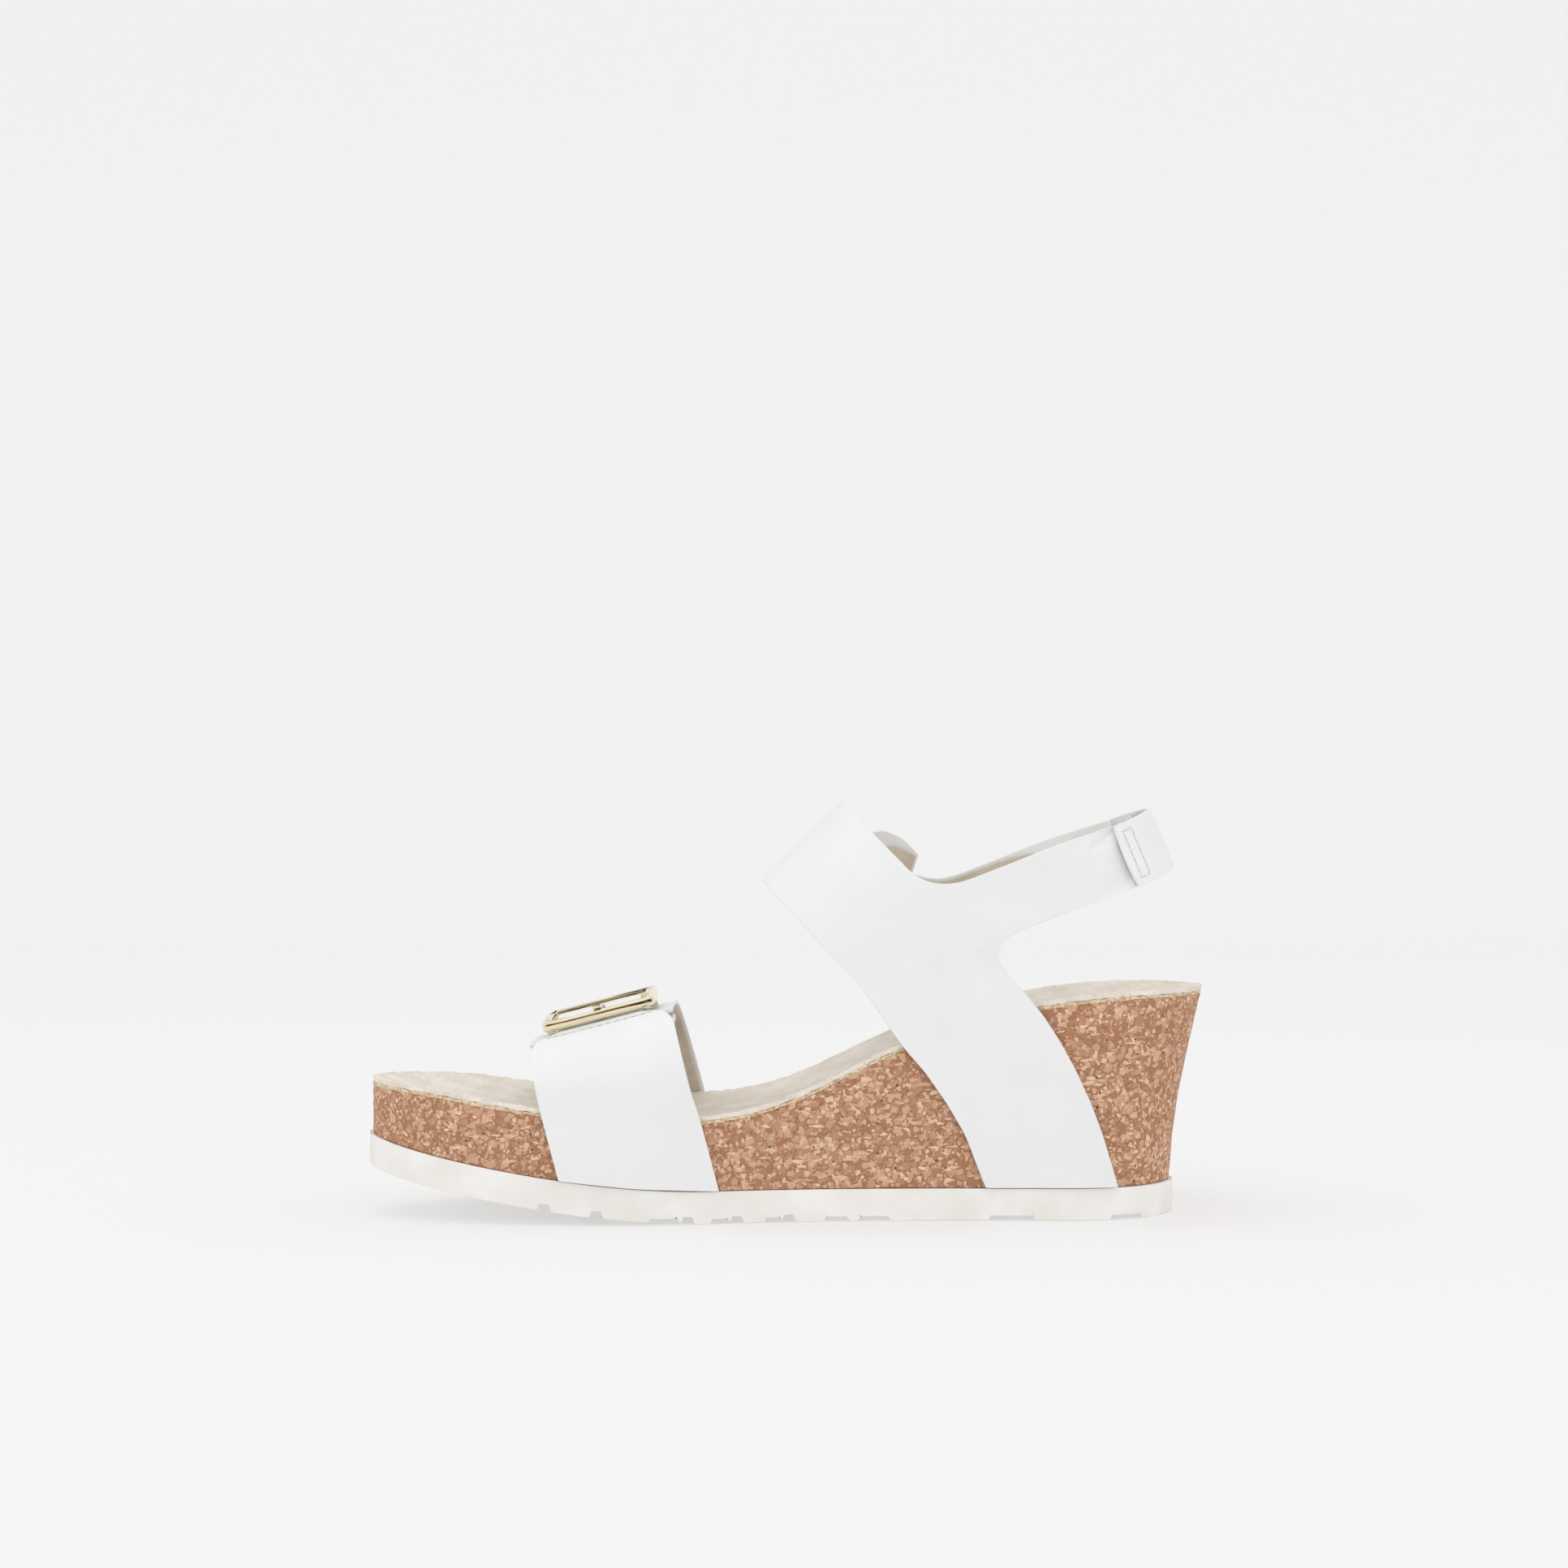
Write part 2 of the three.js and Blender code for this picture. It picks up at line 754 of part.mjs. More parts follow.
// A flat pattern laid on a surface. stretch makes the cells finer along a direction.
function sheet(surface, pattern, low, thickness, options = {}) {
  const { lift = () => 0, stretch = [0.8, 2.2], holes = [], cell = CELL } = options;
  const scaled = ([a, b]) => new THREE.Vector2(a * stretch[0], b * stretch[1]);
  const outlines = [pattern.map(scaled), ...holes.map((hole) => hole.map(scaled))];
  outlines.forEach((loop, i) => {
    if (THREE.ShapeUtils.isClockWise(loop) !== i > 0) {
      loop.reverse();
    }
  });
  const { points, faces, loops } = patternFaces(outlines, cell);
  const body = new Body();
  for (const w of [low + thickness, low]) {
    for (const q of points) {
      const [a, b] = [q.x / stretch[0], q.y / stretch[1]];
      const p = offsetPoint(surface, a, b, w + lift(a, b));
      body.point(p.x, p.y, p.z);
    }
  }
  const under = points.length;
  for (const [a, b, c] of faces) {
    body.indices.push(a, b, c, under + a, under + c, under + b);
  }
  let start = 0;
  for (const loop of loops) {
    for (let i = 0; i < loop.length; i += 1) {
      const a = start + i;
      const b = start + ((i + 1) % loop.length);
      body.quad(under + a, under + b, b, a);
    }
    start += loop.length;
  }
  return body.geometry();
}

// A strip with rounded corners at both of its ends.
function strip(a0, a1, b0, b1, startCorner, endCorner) {
  const corner = (a, b, radius, from) => {
    if (radius < 0.2) {
      return [[a, b]];
    }
    const count = Math.max(2, Math.round(radius / 2.5));
    return Array.from({ length: count + 1 }, (_, i) => {
      const angle = from + ((Math.PI / 2) * i) / count;
      return [a + radius * Math.cos(angle), b + radius * Math.sin(angle)];
    });
  };
  const [r0, r1] = [startCorner, endCorner];
  return [
    ...corner(a0 + r0, b0 + r0, r0, Math.PI),
    ...corner(a1 - r0, b0 + r0, r0, 1.5 * Math.PI),
    ...corner(a1 - r1, b1 - r1, r1, 0),
    ...corner(a0 + r1, b1 - r1, r1, 0.5 * Math.PI),
  ];
}

// A pattern drawn in by a margin all round.
function drawnIn(pattern, margin) {
  const corners = pattern.map(([a, b]) => new THREE.Vector2(a, b));
  const turn = THREE.ShapeUtils.isClockWise(corners) ? -1 : 1;
  return pattern.map((p, i) => {
    const before = pattern[(i + pattern.length - 1) % pattern.length];
    const after = pattern[(i + 1) % pattern.length];
    const first = new THREE.Vector2(p[0] - before[0], p[1] - before[1]).normalize();
    const second = new THREE.Vector2(after[0] - p[0], after[1] - p[1]).normalize();
    const inward = new THREE.Vector2(-first.y - second.y, first.x + second.x).normalize();
    const reach = (turn * margin) / Math.max(0.5, Math.sqrt((1 + first.dot(second)) / 2));
    return [p[0] + inward.x * reach, p[1] + inward.y * reach];
  });
}

function oval(a, b, halfA, halfB) {
  return Array.from({ length: 10 }, (_, i) => {
    const angle = (2 * Math.PI * i) / 10;
    return [a + halfA * Math.cos(angle), b - halfB * Math.sin(angle)];
  });
}

// ---------------------------------------------------------------- strap over the toes
const LINING_LOW = 1.5 * GAP;
const LEATHER_LOW = LINING_LOW + LINING + 1.4 * GAP;
const OVER_LEATHER = LEATHER_LOW + LEATHER + GAP;
const BAR_LEVEL = LEATHER_LOW + LEATHER + BAR_ROOM + BAR_RADIUS;
const BUCKLE_LEVEL = STRAP_TOP + OVER_LEATHER + LEATHER + RAIL_ROOM + FRAME_THICK / 2;

const front = new ArchSurface(FRONT_TILT, FRONT_PROFILE, 14);
const frontMiddle = (FRONT_FROM + FRONT_TO) / 2;

// Where a strap meets the outsole at one place of its width.
function footU(surface, side, s) {
  const above = (u) => {
    const p = surface.base(s, u);
    return p.z - outsoleTop(p.x) - GAP;
  };
  if (side < 0) {
    return solve(above, 0, 0, surface.peak);
  }
  return solve((u) => -above(u), 0, surface.peak, surface.length);
}

const innerFoot = (surface, s) => [s, footU(surface, -1, s)];
const outerFoot = (surface, s) => [s, footU(surface, 1, s)];

// The inner half narrows to a tongue that climbs over the outer half and the buckle's bar.
const shoulderU = front.uAcross(SHOULDER_Y);
const tongueLift = through(
  [
    [SHOULDER_Y - 12, 0],
    [SHOULDER_Y, OVER_LEATHER - LEATHER_LOW],
    [BUCKLE_Y - 15, OVER_LEATHER - LEATHER_LOW],
    [BUCKLE_Y - 2, BAR_LEVEL + BAR_RADIUS + 2 * GAP + LINING - LEATHER_LOW],
    [BUCKLE_Y + 2, BAR_LEVEL + BAR_RADIUS + 2 * GAP + LINING - LEATHER_LOW],
    [BUCKLE_Y + 15, OVER_LEATHER - LEATHER_LOW + 0.4],
    [BUCKLE_Y + 40, OVER_LEATHER - LEATHER_LOW + 0.4],
  ].map(([y, lift]) => [front.uAcross(y), lift]),
);
const barU = front.uAcross(BUCKLE_Y);
const slotU = barU - SLOT_AHEAD;
const tongueHoles = [oval(frontMiddle, slotU, SLOT_HALF_WIDE, SLOT_HALF_LONG)];
for (const i of [1, 2, 3]) {
  const u = slotU + SLOT_HALF_LONG + i * HOLE_PITCH - HOLE_RADIUS;
  tongueHoles.push(oval(frontMiddle, u, HOLE_RADIUS, HOLE_RADIUS));
}
const innerPattern = [
  innerFoot(front, FRONT_FROM),
  innerFoot(front, frontMiddle),
  innerFoot(front, FRONT_TO),
  [FRONT_TO, shoulderU - 7],
  [FRONT_TO - 1.5, shoulderU - 3],
  [FRONT_TO - 4.5, shoulderU - 0.6],
  [frontMiddle + TONGUE_HALF + 2, shoulderU],
  [frontMiddle + TONGUE_HALF, shoulderU + 2],
  ...[0, 0.2, 0.4, 0.6, 0.8, 1].map((part) => {
    const angle = Math.PI * part;
    const reach = TONGUE_TIP - TONGUE_ROUND * (1 - Math.sin(angle));
    return [frontMiddle + TONGUE_HALF * Math.cos(angle), front.uAcross(reach)];
  }),
  [frontMiddle - TONGUE_HALF, shoulderU + 2],
  [frontMiddle - TONGUE_HALF - 2, shoulderU],
  [FRONT_FROM + 4.5, shoulderU - 0.6],
  [FRONT_FROM + 1.5, shoulderU - 3],
  [FRONT_FROM, shoulderU - 7],
];
add(
  "front_strap_medial",
  sheet(front, innerPattern, LEATHER_LOW, LEATHER, {
    lift: (s, u) => tongueLift(u),
    holes: tongueHoles,
  }),
  "leather",
);
const innerLiningTop = front.uAcross(PAD_END_Y - 8);
add(
  "front_strap_medial_lining",
  sheet(
    front,
    [
      innerFoot(front, FRONT_FROM + LINING_MARGIN),
      innerFoot(front, FRONT_TO - LINING_MARGIN),
      [FRONT_TO - LINING_MARGIN, innerLiningTop],
      [FRONT_FROM + LINING_MARGIN, innerLiningTop],
    ],
    LINING_LOW,
    LINING,
  ),
  "suede",
);
add(
  "front_strap_medial_stitching",
  sheet(
    front,
    strip(
      FRONT_FROM + SEAM_IN,
      FRONT_TO - SEAM_IN,
      shoulderU - SEAM_DOWN,
      shoulderU - SEAM_DOWN + STITCH_THREAD,
      0,
      0,
    ),
    OVER_LEATHER,
    STITCH_THREAD,
    { lift: (s, u) => tongueLift(u) },
  ),
  "thread",
);

const padU = front.uAcross(PAD_END_Y);
const outerPattern = [
  [FRONT_FROM, padU],
  [FRONT_TO, padU],
  outerFoot(front, FRONT_TO),
  outerFoot(front, frontMiddle),
  outerFoot(front, FRONT_FROM),
];
const eyeRoom = oval(frontMiddle, barU, PRONG_WIDE / 2 + 1.4, BAR_RADIUS + PRONG_EYE + 2.1);
add(
  "front_strap_lateral",
  sheet(front, outerPattern, LEATHER_LOW, LEATHER, { holes: [eyeRoom] }),
  "leather",
);
add(
  "front_strap_lateral_lining",
  sheet(
    front,
    [
      [FRONT_FROM + LINING_MARGIN, padU + LINING_MARGIN],
      [FRONT_TO - LINING_MARGIN, padU + LINING_MARGIN],
      outerFoot(front, FRONT_TO - LINING_MARGIN),
      outerFoot(front, FRONT_FROM + LINING_MARGIN),
    ],
    LINING_LOW,
    LINING,
  ),
  "suede",
);

add(
  "front_strap_underlay",
  sheet(
    front,
    strip(FRONT_FROM + UNDERLAY_IN, FRONT_TO - GAP, padU, padU + UNDERLAY_REACH, 0, 0),
    -UNDERLAY,
    UNDERLAY,
  ),
  "leather",
);

// Leather loop that holds the buckle's bar down on the strap.
const loopLift = through(
  [
    [BUCKLE_Y - 10, 0],
    [BUCKLE_Y - 7, 0],
    [BUCKLE_Y - 1.5, BAR_LEVEL + BAR_RADIUS + GAP - OVER_LEATHER],
    [BUCKLE_Y + 1.5, BAR_LEVEL + BAR_RADIUS + GAP - OVER_LEATHER],
    [BUCKLE_Y + 7, 0],
    [BUCKLE_Y + 10, 0],
  ].map(([y, lift]) => [front.uAcross(y), lift]),
);
const loopSlot = oval(frontMiddle, barU - 0.5, PRONG_WIDE / 2 + 1, SLOT_HALF_LONG + 0.1);
add(
  "buckle_bar_loop",
  sheet(
    front,
    strip(
      frontMiddle - LOOP_HALF,
      frontMiddle + LOOP_HALF,
      barU - LOOP_REACH,
      barU + LOOP_REACH,
      0,
      0,
    ),
    OVER_LEATHER,
    LINING,
    { lift: (s, u) => loopLift(u), holes: [loopSlot], cell: 5 },
  ),
  "leather",
);

// ---------------------------------------------------------------- buckle
// Places a body drawn flat (x along the strap's width, y across the foot, z outwards).
function onBuckle(geometry) {
  const place = new THREE.Matrix4().makeRotationY(-radians(FRONT_TILT));
  const x = frontMiddle * front.cos - BUCKLE_LEVEL * front.sin;
  const z = frontMiddle * front.sin + BUCKLE_LEVEL * front.cos;
  place.setPosition(x, BUCKLE_Y, z);
  return geometry.applyMatrix4(place);
}

function roundedRectangle(halfX, halfY, radius) {
  const points = strip(-halfX, halfX, -halfY, halfY, radius, radius);
  return points.map(([x, y]) => new THREE.Vector2(x, y));
}

function rod(radius, length, sides = 14) {
  const body = new THREE.CylinderGeometry(radius, radius, length, sides);
  return body.rotateZ(Math.PI / 2);
}

const barDrop = BUCKLE_LEVEL - (STRAP_TOP + BAR_LEVEL);
const boreLong = FRAME_LONG - 2 * (END_RAIL - 2.2);

// The frame's ring with a lug under each end rail that holds the bar.
function buckleFrame() {
  const outer = new THREE.Shape(roundedRectangle(FRAME_LONG / 2, FRAME_ACROSS / 2, FRAME_CORNER));
  const innerX = FRAME_LONG / 2 - END_RAIL;
  const innerY = FRAME_ACROSS / 2 - RAIL;
  outer.holes.push(new THREE.Path(roundedRectangle(innerX, innerY, 1.5).reverse()));
  const ring = new THREE.ExtrudeGeometry(outer, {
    depth: FRAME_THICK - 2 * FRAME_BEVEL,
    bevelEnabled: true,
    bevelThickness: FRAME_BEVEL,
    bevelSize: FRAME_BEVEL,
    bevelOffset: -FRAME_BEVEL,
    bevelSegments: 2,
    steps: 1,
  });
  ring.translate(0, 0, -FRAME_THICK / 2 + FRAME_BEVEL);
  ring.rotateX(radians(BUCKLE_LEAN));
  const lugHigh = barDrop + BAR_RADIUS + 0.4;
  const lugAt = (side) => {
    const lug = new THREE.BoxGeometry(END_RAIL - 2 * GAP, 5, lugHigh);
    const middle = ((FRAME_LONG - END_RAIL) / 2) * side;
    return lug.translate(middle, 0, 0.2 - lugHigh / 2);
  };
  const bore = rod(BAR_RADIUS + GAP * 0.7, boreLong).translate(0, 0, -barDrop);
  return cut(join(ring, [lugAt(-1), lugAt(1)]), [bore]);
}
const barRod = rod(BAR_RADIUS, boreLong - 2 * GAP).translate(0, 0, -barDrop);
add("buckle_frame", onBuckle(buckleFrame()), "gold");
add("buckle_centre_bar", onBuckle(barRod), "gold");

// The prong turns on the bar, comes up through the tongue and rests on the inner rail.
function buckleProng() {
  const eye = rod(BAR_RADIUS + PRONG_EYE, PRONG_WIDE, 18);
  const reach = FRAME_ACROSS / 2 - RAIL * 0.45;
  const overRail = barDrop + FRAME_THICK / 2 + 0.25;
  const needle = new THREE.ExtrudeGeometry(
    new THREE.Shape(
      [
        [0, 0.2],
        [0, 0.2 + PRONG_THICK],
        [-reach * 0.45, 2.2 + PRONG_THICK],
        [-reach, overRail + PRONG_THICK * 0.6],
        [-reach, overRail - 0.4],
        [-reach * 0.45, 2.2],
      ].map(([y, z]) => new THREE.Vector2(y, z)),
    ),
    { depth: PRONG_WIDE, bevelEnabled: false },
  );
  needle.applyMatrix4(
    new THREE.Matrix4().set(0, 0, 1, -PRONG_WIDE / 2, 1, 0, 0, 0, 0, 1, 0, 0, 0, 0, 0, 1),
  );
  const bore = rod(BAR_RADIUS + 0.25, PRONG_WIDE + 2, 14);
  return cut(join(eye, [needle]), [bore]).translate(0, 0, -barDrop);
}
add("buckle_prong", onBuckle(buckleProng()), "gold");

// ---------------------------------------------------------------- instep strap
const instep = new ArchSurface(INSTEP_TILT, INSTEP_PROFILE, 20);
const ridgeU = instep.uAcross(RIDGE_Y);
const heel = new HeelSurface();
const linedEnd = ANKLE_TURN - 6; // the arms' linings stop where the ankle turns in

// End of the heel arm, square to its slope.
function armEnd(side, along) {
  return [HEEL_HIGH, HEEL_LOW].map((g) => {
    const x = along * slopeCos - g * slopeSin;
    const z = along * slopeSin + g * slopeCos;
    return instep.flat(side, [x, z]);
  });
}

// One forked side. endPoints close its arm over the foot, from the front edge to the rear one.
function forkedPattern(side, shift, endPoints, armAlong = ARM_END) {
  const moved = ([s, u], i, all) => [s + shift * smooth(i / (all.length - 1), 0.2, 1), u];
  const front = LEG_FRONT.map((p) => instep.flat(side, p)).map(moved);
  const onArm = ([x, z]) => x * slopeCos + z * slopeSin < armAlong - 3;
  const back = ARM_BACK.filter(onArm).map((p) => instep.flat(side, p));
  back[0][0] += shift;
  const leg = LEG_BACK.filter(onArm).map((p) => instep.flat(side, p));
  front[0] = [front[0][0], footU(instep, side, front[0][0])];
  const last = leg.length - 1;
  leg[last] = [leg[last][0], footU(instep, side, leg[last][0])];
  return [...front, ...endPoints, ...back, ...armEnd(side, armAlong), ...leg];
}

const innerTop = [
  [ARM_FROM, ridgeU - GAP],
  [ARM_TO, ridgeU - GAP],
];
const innerForked = forkedPattern(-1, 0, innerTop);
const innerLined = drawnIn(forkedPattern(-1, 0, innerTop, linedEnd), LINING_MARGIN);
add("instep_strap_medial", sheet(instep, innerForked, LEATHER_LOW, LEATHER), "leather");
add("instep_strap_medial_lining", sheet(instep, innerLined, LINING_LOW, LINING), "suede");

const outerEndU = instep.uRise(1, LATERAL_END_N);
const outerFrom = ARM_FROM + LATERAL_SHIFT;
const outerTo = ARM_TO + LATERAL_SHIFT;
const roundEnd = [
  [outerFrom, outerEndU + 12],
  [outerFrom + 2.5, outerEndU + 5],
  [outerFrom + 9, outerEndU + 0.8],
  [(outerFrom + outerTo) / 2, outerEndU],
  [outerTo - 9, outerEndU + 0.8],
  [outerTo - 2.5, outerEndU + 5],
  [outerTo, outerEndU + 12],
];
const linedRoundEnd = roundEnd.map(([s, u]) => [s, u + 6]);
const outerForked = forkedPattern(1, LATERAL_SHIFT, roundEnd);
const outerLined = drawnIn(
  forkedPattern(1, LATERAL_SHIFT, linedRoundEnd, linedEnd),
  LINING_MARGIN,
);
add("instep_strap_lateral", sheet(instep, outerForked, LEATHER_LOW, LEATHER), "leather");
add("instep_strap_lateral_lining", sheet(instep, outerLined, LINING_LOW, LINING), "suede");

// The flap carries on over the ridge and presses on the outer half with hook tape.
const LOOP_LOW = OVER_LEATHER;
const HOOK_LOW = LOOP_LOW + PATCH + GAP;
const FLAP_LOW = HOOK_LOW + PATCH + GAP;
const flapEndU = instep.uRise(1, FLAP_END_N);
const flapLift = through([
  [ridgeU - 30, 0],
  [ridgeU + 1, 0],
  [outerEndU - 3, FLAP_LOW - LEATHER_LOW],
  [flapEndU + 30, FLAP_LOW - LEATHER_LOW],
]);
const onFlap = { lift: (s, u) => flapLift(u) };
add(
  "instep_flap",
  sheet(
    instep,
    [
      [ARM_FROM, ridgeU + GAP],
      [ARM_TO, ridgeU + GAP],
      [ARM_TO, flapEndU - FLAP_CORNER],
      [ARM_TO - 0.3 * FLAP_CORNER, flapEndU - 0.3 * FLAP_CORNER],
      [ARM_TO - FLAP_CORNER, flapEndU],
      [ARM_FROM + FLAP_CORNER, flapEndU],
      [ARM_FROM + 0.3 * FLAP_CORNER, flapEndU - 0.3 * FLAP_CORNER],
      [ARM_FROM, flapEndU - FLAP_CORNER],
    ],
    LEATHER_LOW,
    LEATHER,
    onFlap,
  ),
  "leather",
);
add(
  "instep_flap_lining",
  sheet(
    instep,
    strip(
      ARM_FROM + LINING_MARGIN,
      ARM_TO - LINING_MARGIN,
      ridgeU + LINING_MARGIN,
      outerEndU - 2,
      0,
      0,
    ),
    LINING_LOW,
    LINING,
    onFlap,
  ),
  "suede",
);
const patchPattern = (margin) =>
  strip(
    outerFrom + 2 + margin,
    ARM_TO - 3 - margin,
    outerEndU + 6 + margin,
    flapEndU - 4 - margin,
    2,
    2,
  );
add("instep_loop_patch", sheet(instep, patchPattern(0), LOOP_LOW, PATCH), "tape");
add("instep_hook_patch", sheet(instep, patchPattern(1), HOOK_LOW, PATCH), "tape");

// ---------------------------------------------------------------- strap round the heel
const onHeel = { stretch: [1.7, 1] };
const tabT = heel.tAt(-1, TAB_START);
const heelMiddle = heel.length / 2;
const farTabT = heel.tAt(1, HEEL_STRAP_END);
const armTip = { inner: heel.tAt(-1, ARM_END), outer: heel.tAt(1, ARM_END) };
const heelHinge = armTip.outer - 9;
const endLift = through([
  [heelHinge - 20, 0],
  [heelHinge, 0],
  [armTip.outer - 1, FLAP_LOW - OVER_LEATHER],
  [farTabT + 20, FLAP_LOW - OVER_LEATHER],
]);
add(
  "heel_strap",
  sheet(
    heel,
    [
      [tabT, HEEL_LOW],
      [heelHinge - GAP, HEEL_LOW],
      [heelHinge - GAP, HEEL_HIGH],
      [tabT, HEEL_HIGH],
      [tabT - 0.9, (HEEL_LOW + HEEL_HIGH) / 2],
    ],
    OVER_LEATHER,
    LEATHER,
    onHeel,
  ),
  "leather",
);
add(
  "heel_strap_end",
  sheet(
    heel,
    [
      [heelHinge, HEEL_LOW],
      [farTabT - 6, HEEL_LOW],
      [farTabT - 1.8, HEEL_LOW + 2.5],
      [farTabT, HEEL_LOW + 7],
      [farTabT, HEEL_HIGH - 7],
      [farTabT - 1.8, HEEL_HIGH - 2.5],
      [farTabT - 6, HEEL_HIGH],
      [heelHinge, HEEL_HIGH],
    ],
    OVER_LEATHER,
    LEATHER,
    { ...onHeel, lift: (t) => endLift(t) },
  ),
  "leather",
);
add(
  "heel_strap_lining",
  sheet(
    heel,
    [
      [armTip.inner + 1, HEEL_LOW + 0.8],
      [heelHinge - 1.5, HEEL_LOW + 0.8],
      [heelHinge - 1.5, HEEL_HIGH - 0.8],
      [armTip.inner + 1, HEEL_HIGH - 0.8],
    ],
    OVER_LEATHER - GAP - LINING,
    LINING,
    onHeel,
  ),
  "suede",
);
const heelPatch = (margin) => [
  [armTip.outer + 3 + margin, HEEL_LOW + 2.5 + margin],
  [farTabT - 4 - margin, HEEL_LOW + 2.5 + margin],
  [farTabT - 4 - margin, HEEL_HIGH - 2.5 - margin],
  [armTip.outer + 3 + margin, HEEL_HIGH - 2.5 - margin],
];
add("heel_loop_patch", sheet(heel, heelPatch(0), LOOP_LOW, PATCH, onHeel), "tape");
add("heel_hook_patch", sheet(heel, heelPatch(0.8), HOOK_LOW, PATCH, onHeel), "tape");

// Box of stitches that holds the heel strap to the inner half.
const stitchBox = (margin) => {
  const from = tabT + BOX_FROM + margin;
  const to = tabT + BOX_FROM + BOX_WIDE - margin;
  const low = HEEL_LOW + BOX_MARGIN + margin;
  const high = HEEL_HIGH - BOX_MARGIN - margin;
  return [
    [from, low],
    [to, low],
    [to, high],
    [from, high],
  ];
};
add(
  "heel_strap_stitching",
  sheet(heel, stitchBox(0), OVER_LEATHER + LEATHER + GAP, STITCH_THREAD, {
    ...onHeel,
    holes: [stitchBox(STITCH_THREAD)],
  }),
  "thread",
);

export default group;
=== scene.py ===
"""Looks of a wedge sandal: pressed cork on a foam outsole, white leather straps and a gilt buckle.

Metres throughout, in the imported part's own frame: +X to the heel, -Y to the inner side, +Z up.
"""

import json
import logging
import math
from collections.abc import Callable, Mapping, Sequence
from dataclasses import dataclass
from enum import Enum

import bmesh
import bpy
import numpy as np
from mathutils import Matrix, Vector, noise
from mathutils.bvhtree import BVHTree


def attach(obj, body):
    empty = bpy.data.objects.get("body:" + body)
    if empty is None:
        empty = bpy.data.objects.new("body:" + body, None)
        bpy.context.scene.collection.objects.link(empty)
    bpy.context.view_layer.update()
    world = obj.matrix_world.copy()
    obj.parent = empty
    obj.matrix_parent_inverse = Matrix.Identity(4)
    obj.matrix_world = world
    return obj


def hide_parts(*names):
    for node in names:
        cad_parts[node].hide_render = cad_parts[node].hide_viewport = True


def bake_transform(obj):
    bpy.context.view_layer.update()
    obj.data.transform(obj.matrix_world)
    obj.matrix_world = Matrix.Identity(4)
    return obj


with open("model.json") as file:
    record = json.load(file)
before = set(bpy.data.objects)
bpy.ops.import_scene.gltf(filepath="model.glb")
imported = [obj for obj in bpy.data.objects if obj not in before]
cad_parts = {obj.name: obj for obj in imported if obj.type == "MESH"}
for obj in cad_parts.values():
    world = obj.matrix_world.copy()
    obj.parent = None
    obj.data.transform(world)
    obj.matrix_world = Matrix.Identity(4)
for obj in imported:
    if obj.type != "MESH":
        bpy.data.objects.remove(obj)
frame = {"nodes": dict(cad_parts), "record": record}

log = logging.getLogger("wedge_sandal")
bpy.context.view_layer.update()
MM = 0.001

Colour = tuple[float, float, float, float]
Stops = Sequence[tuple[float, str]]


# ---------------------------------------------------------------- colours and nodes
def srgb(code: str) -> Colour:
    """Turns an sRGB hex colour into linear values.

    Args:
        code: the colour as "#rrggbb".

    Returns:
        Linear red, green and blue with an alpha of one.
    """
    channels = [int(code[i : i + 2], 16) / 255 for i in (1, 3, 5)]
    linear = [c / 12.92 if c <= 0.04045 else ((c + 0.055) / 1.055) ** 2.4 for c in channels]
    return (linear[0], linear[1], linear[2], 1.0)


def per_metre(size_mm: float) -> float:
    """Gives the pattern scale whose features are this many millimetres across."""
    return 1 / (size_mm * MM)


def add_node(
    tree: bpy.types.NodeTree,
    kind: str,
    settings: Mapping[str | int, object] | None = None,
    links: Mapping[str | int, bpy.types.NodeSocket] | None = None,
    stops: Stops = (),
) -> bpy.types.Node:
    """Adds one shader node with its settings and its incoming links.

    Args:
        tree: the node tree that gets the node.
        kind: the node's type name without its "ShaderNode" prefix.
        settings: values by attribute name, or by an input's name or number.
        links: the output that feeds each named or numbered input.
        stops: places and hex colours of a colour ramp, in rising order.

    Returns:
        The new node.
    """
    node = tree.nodes.new(f"ShaderNode{kind}")
    for name, value in (settings or {}).items():
        if isinstance(name, str) and hasattr(node, name):
            setattr(node, name, value)
        else:
            node.inputs[name].default_value = value
    for name, source in (links or {}).items():
        tree.links.new(source, node.inputs[name])
    for i, (place, code) in enumerate(stops):
        elements = node.color_ramp.elements
        element = elements[i] if i < len(elements) else elements.new(place)
        element.position = place
        element.color = srgb(code)
    return node


def new_finish(
    name: str, roughness: float, **values: object
) -> tuple[bpy.types.Material, bpy.types.NodeTree, bpy.types.Node, bpy.types.NodeSocket]:
    """Starts a material with the values that are the same all over it.

    Args:
        name: the material's name.
        roughness: its roughness.
        values: further shader inputs, with _ in place of each space.

    Returns:
        The material, its node tree, its principled shader and the place on the object.
    """
    material = bpy.data.materials.new(name)
    material.use_nodes = True
    tree = material.node_tree
    shader = tree.nodes["Principled BSDF"]
    shader.inputs["Roughness"].default_value = roughness
    for key, value in values.items():
        shader.inputs[key.replace("_", " ")].default_value = value
    place = add_node(tree, "TexCoord").outputs["Object"]
    return material, tree, shader, place


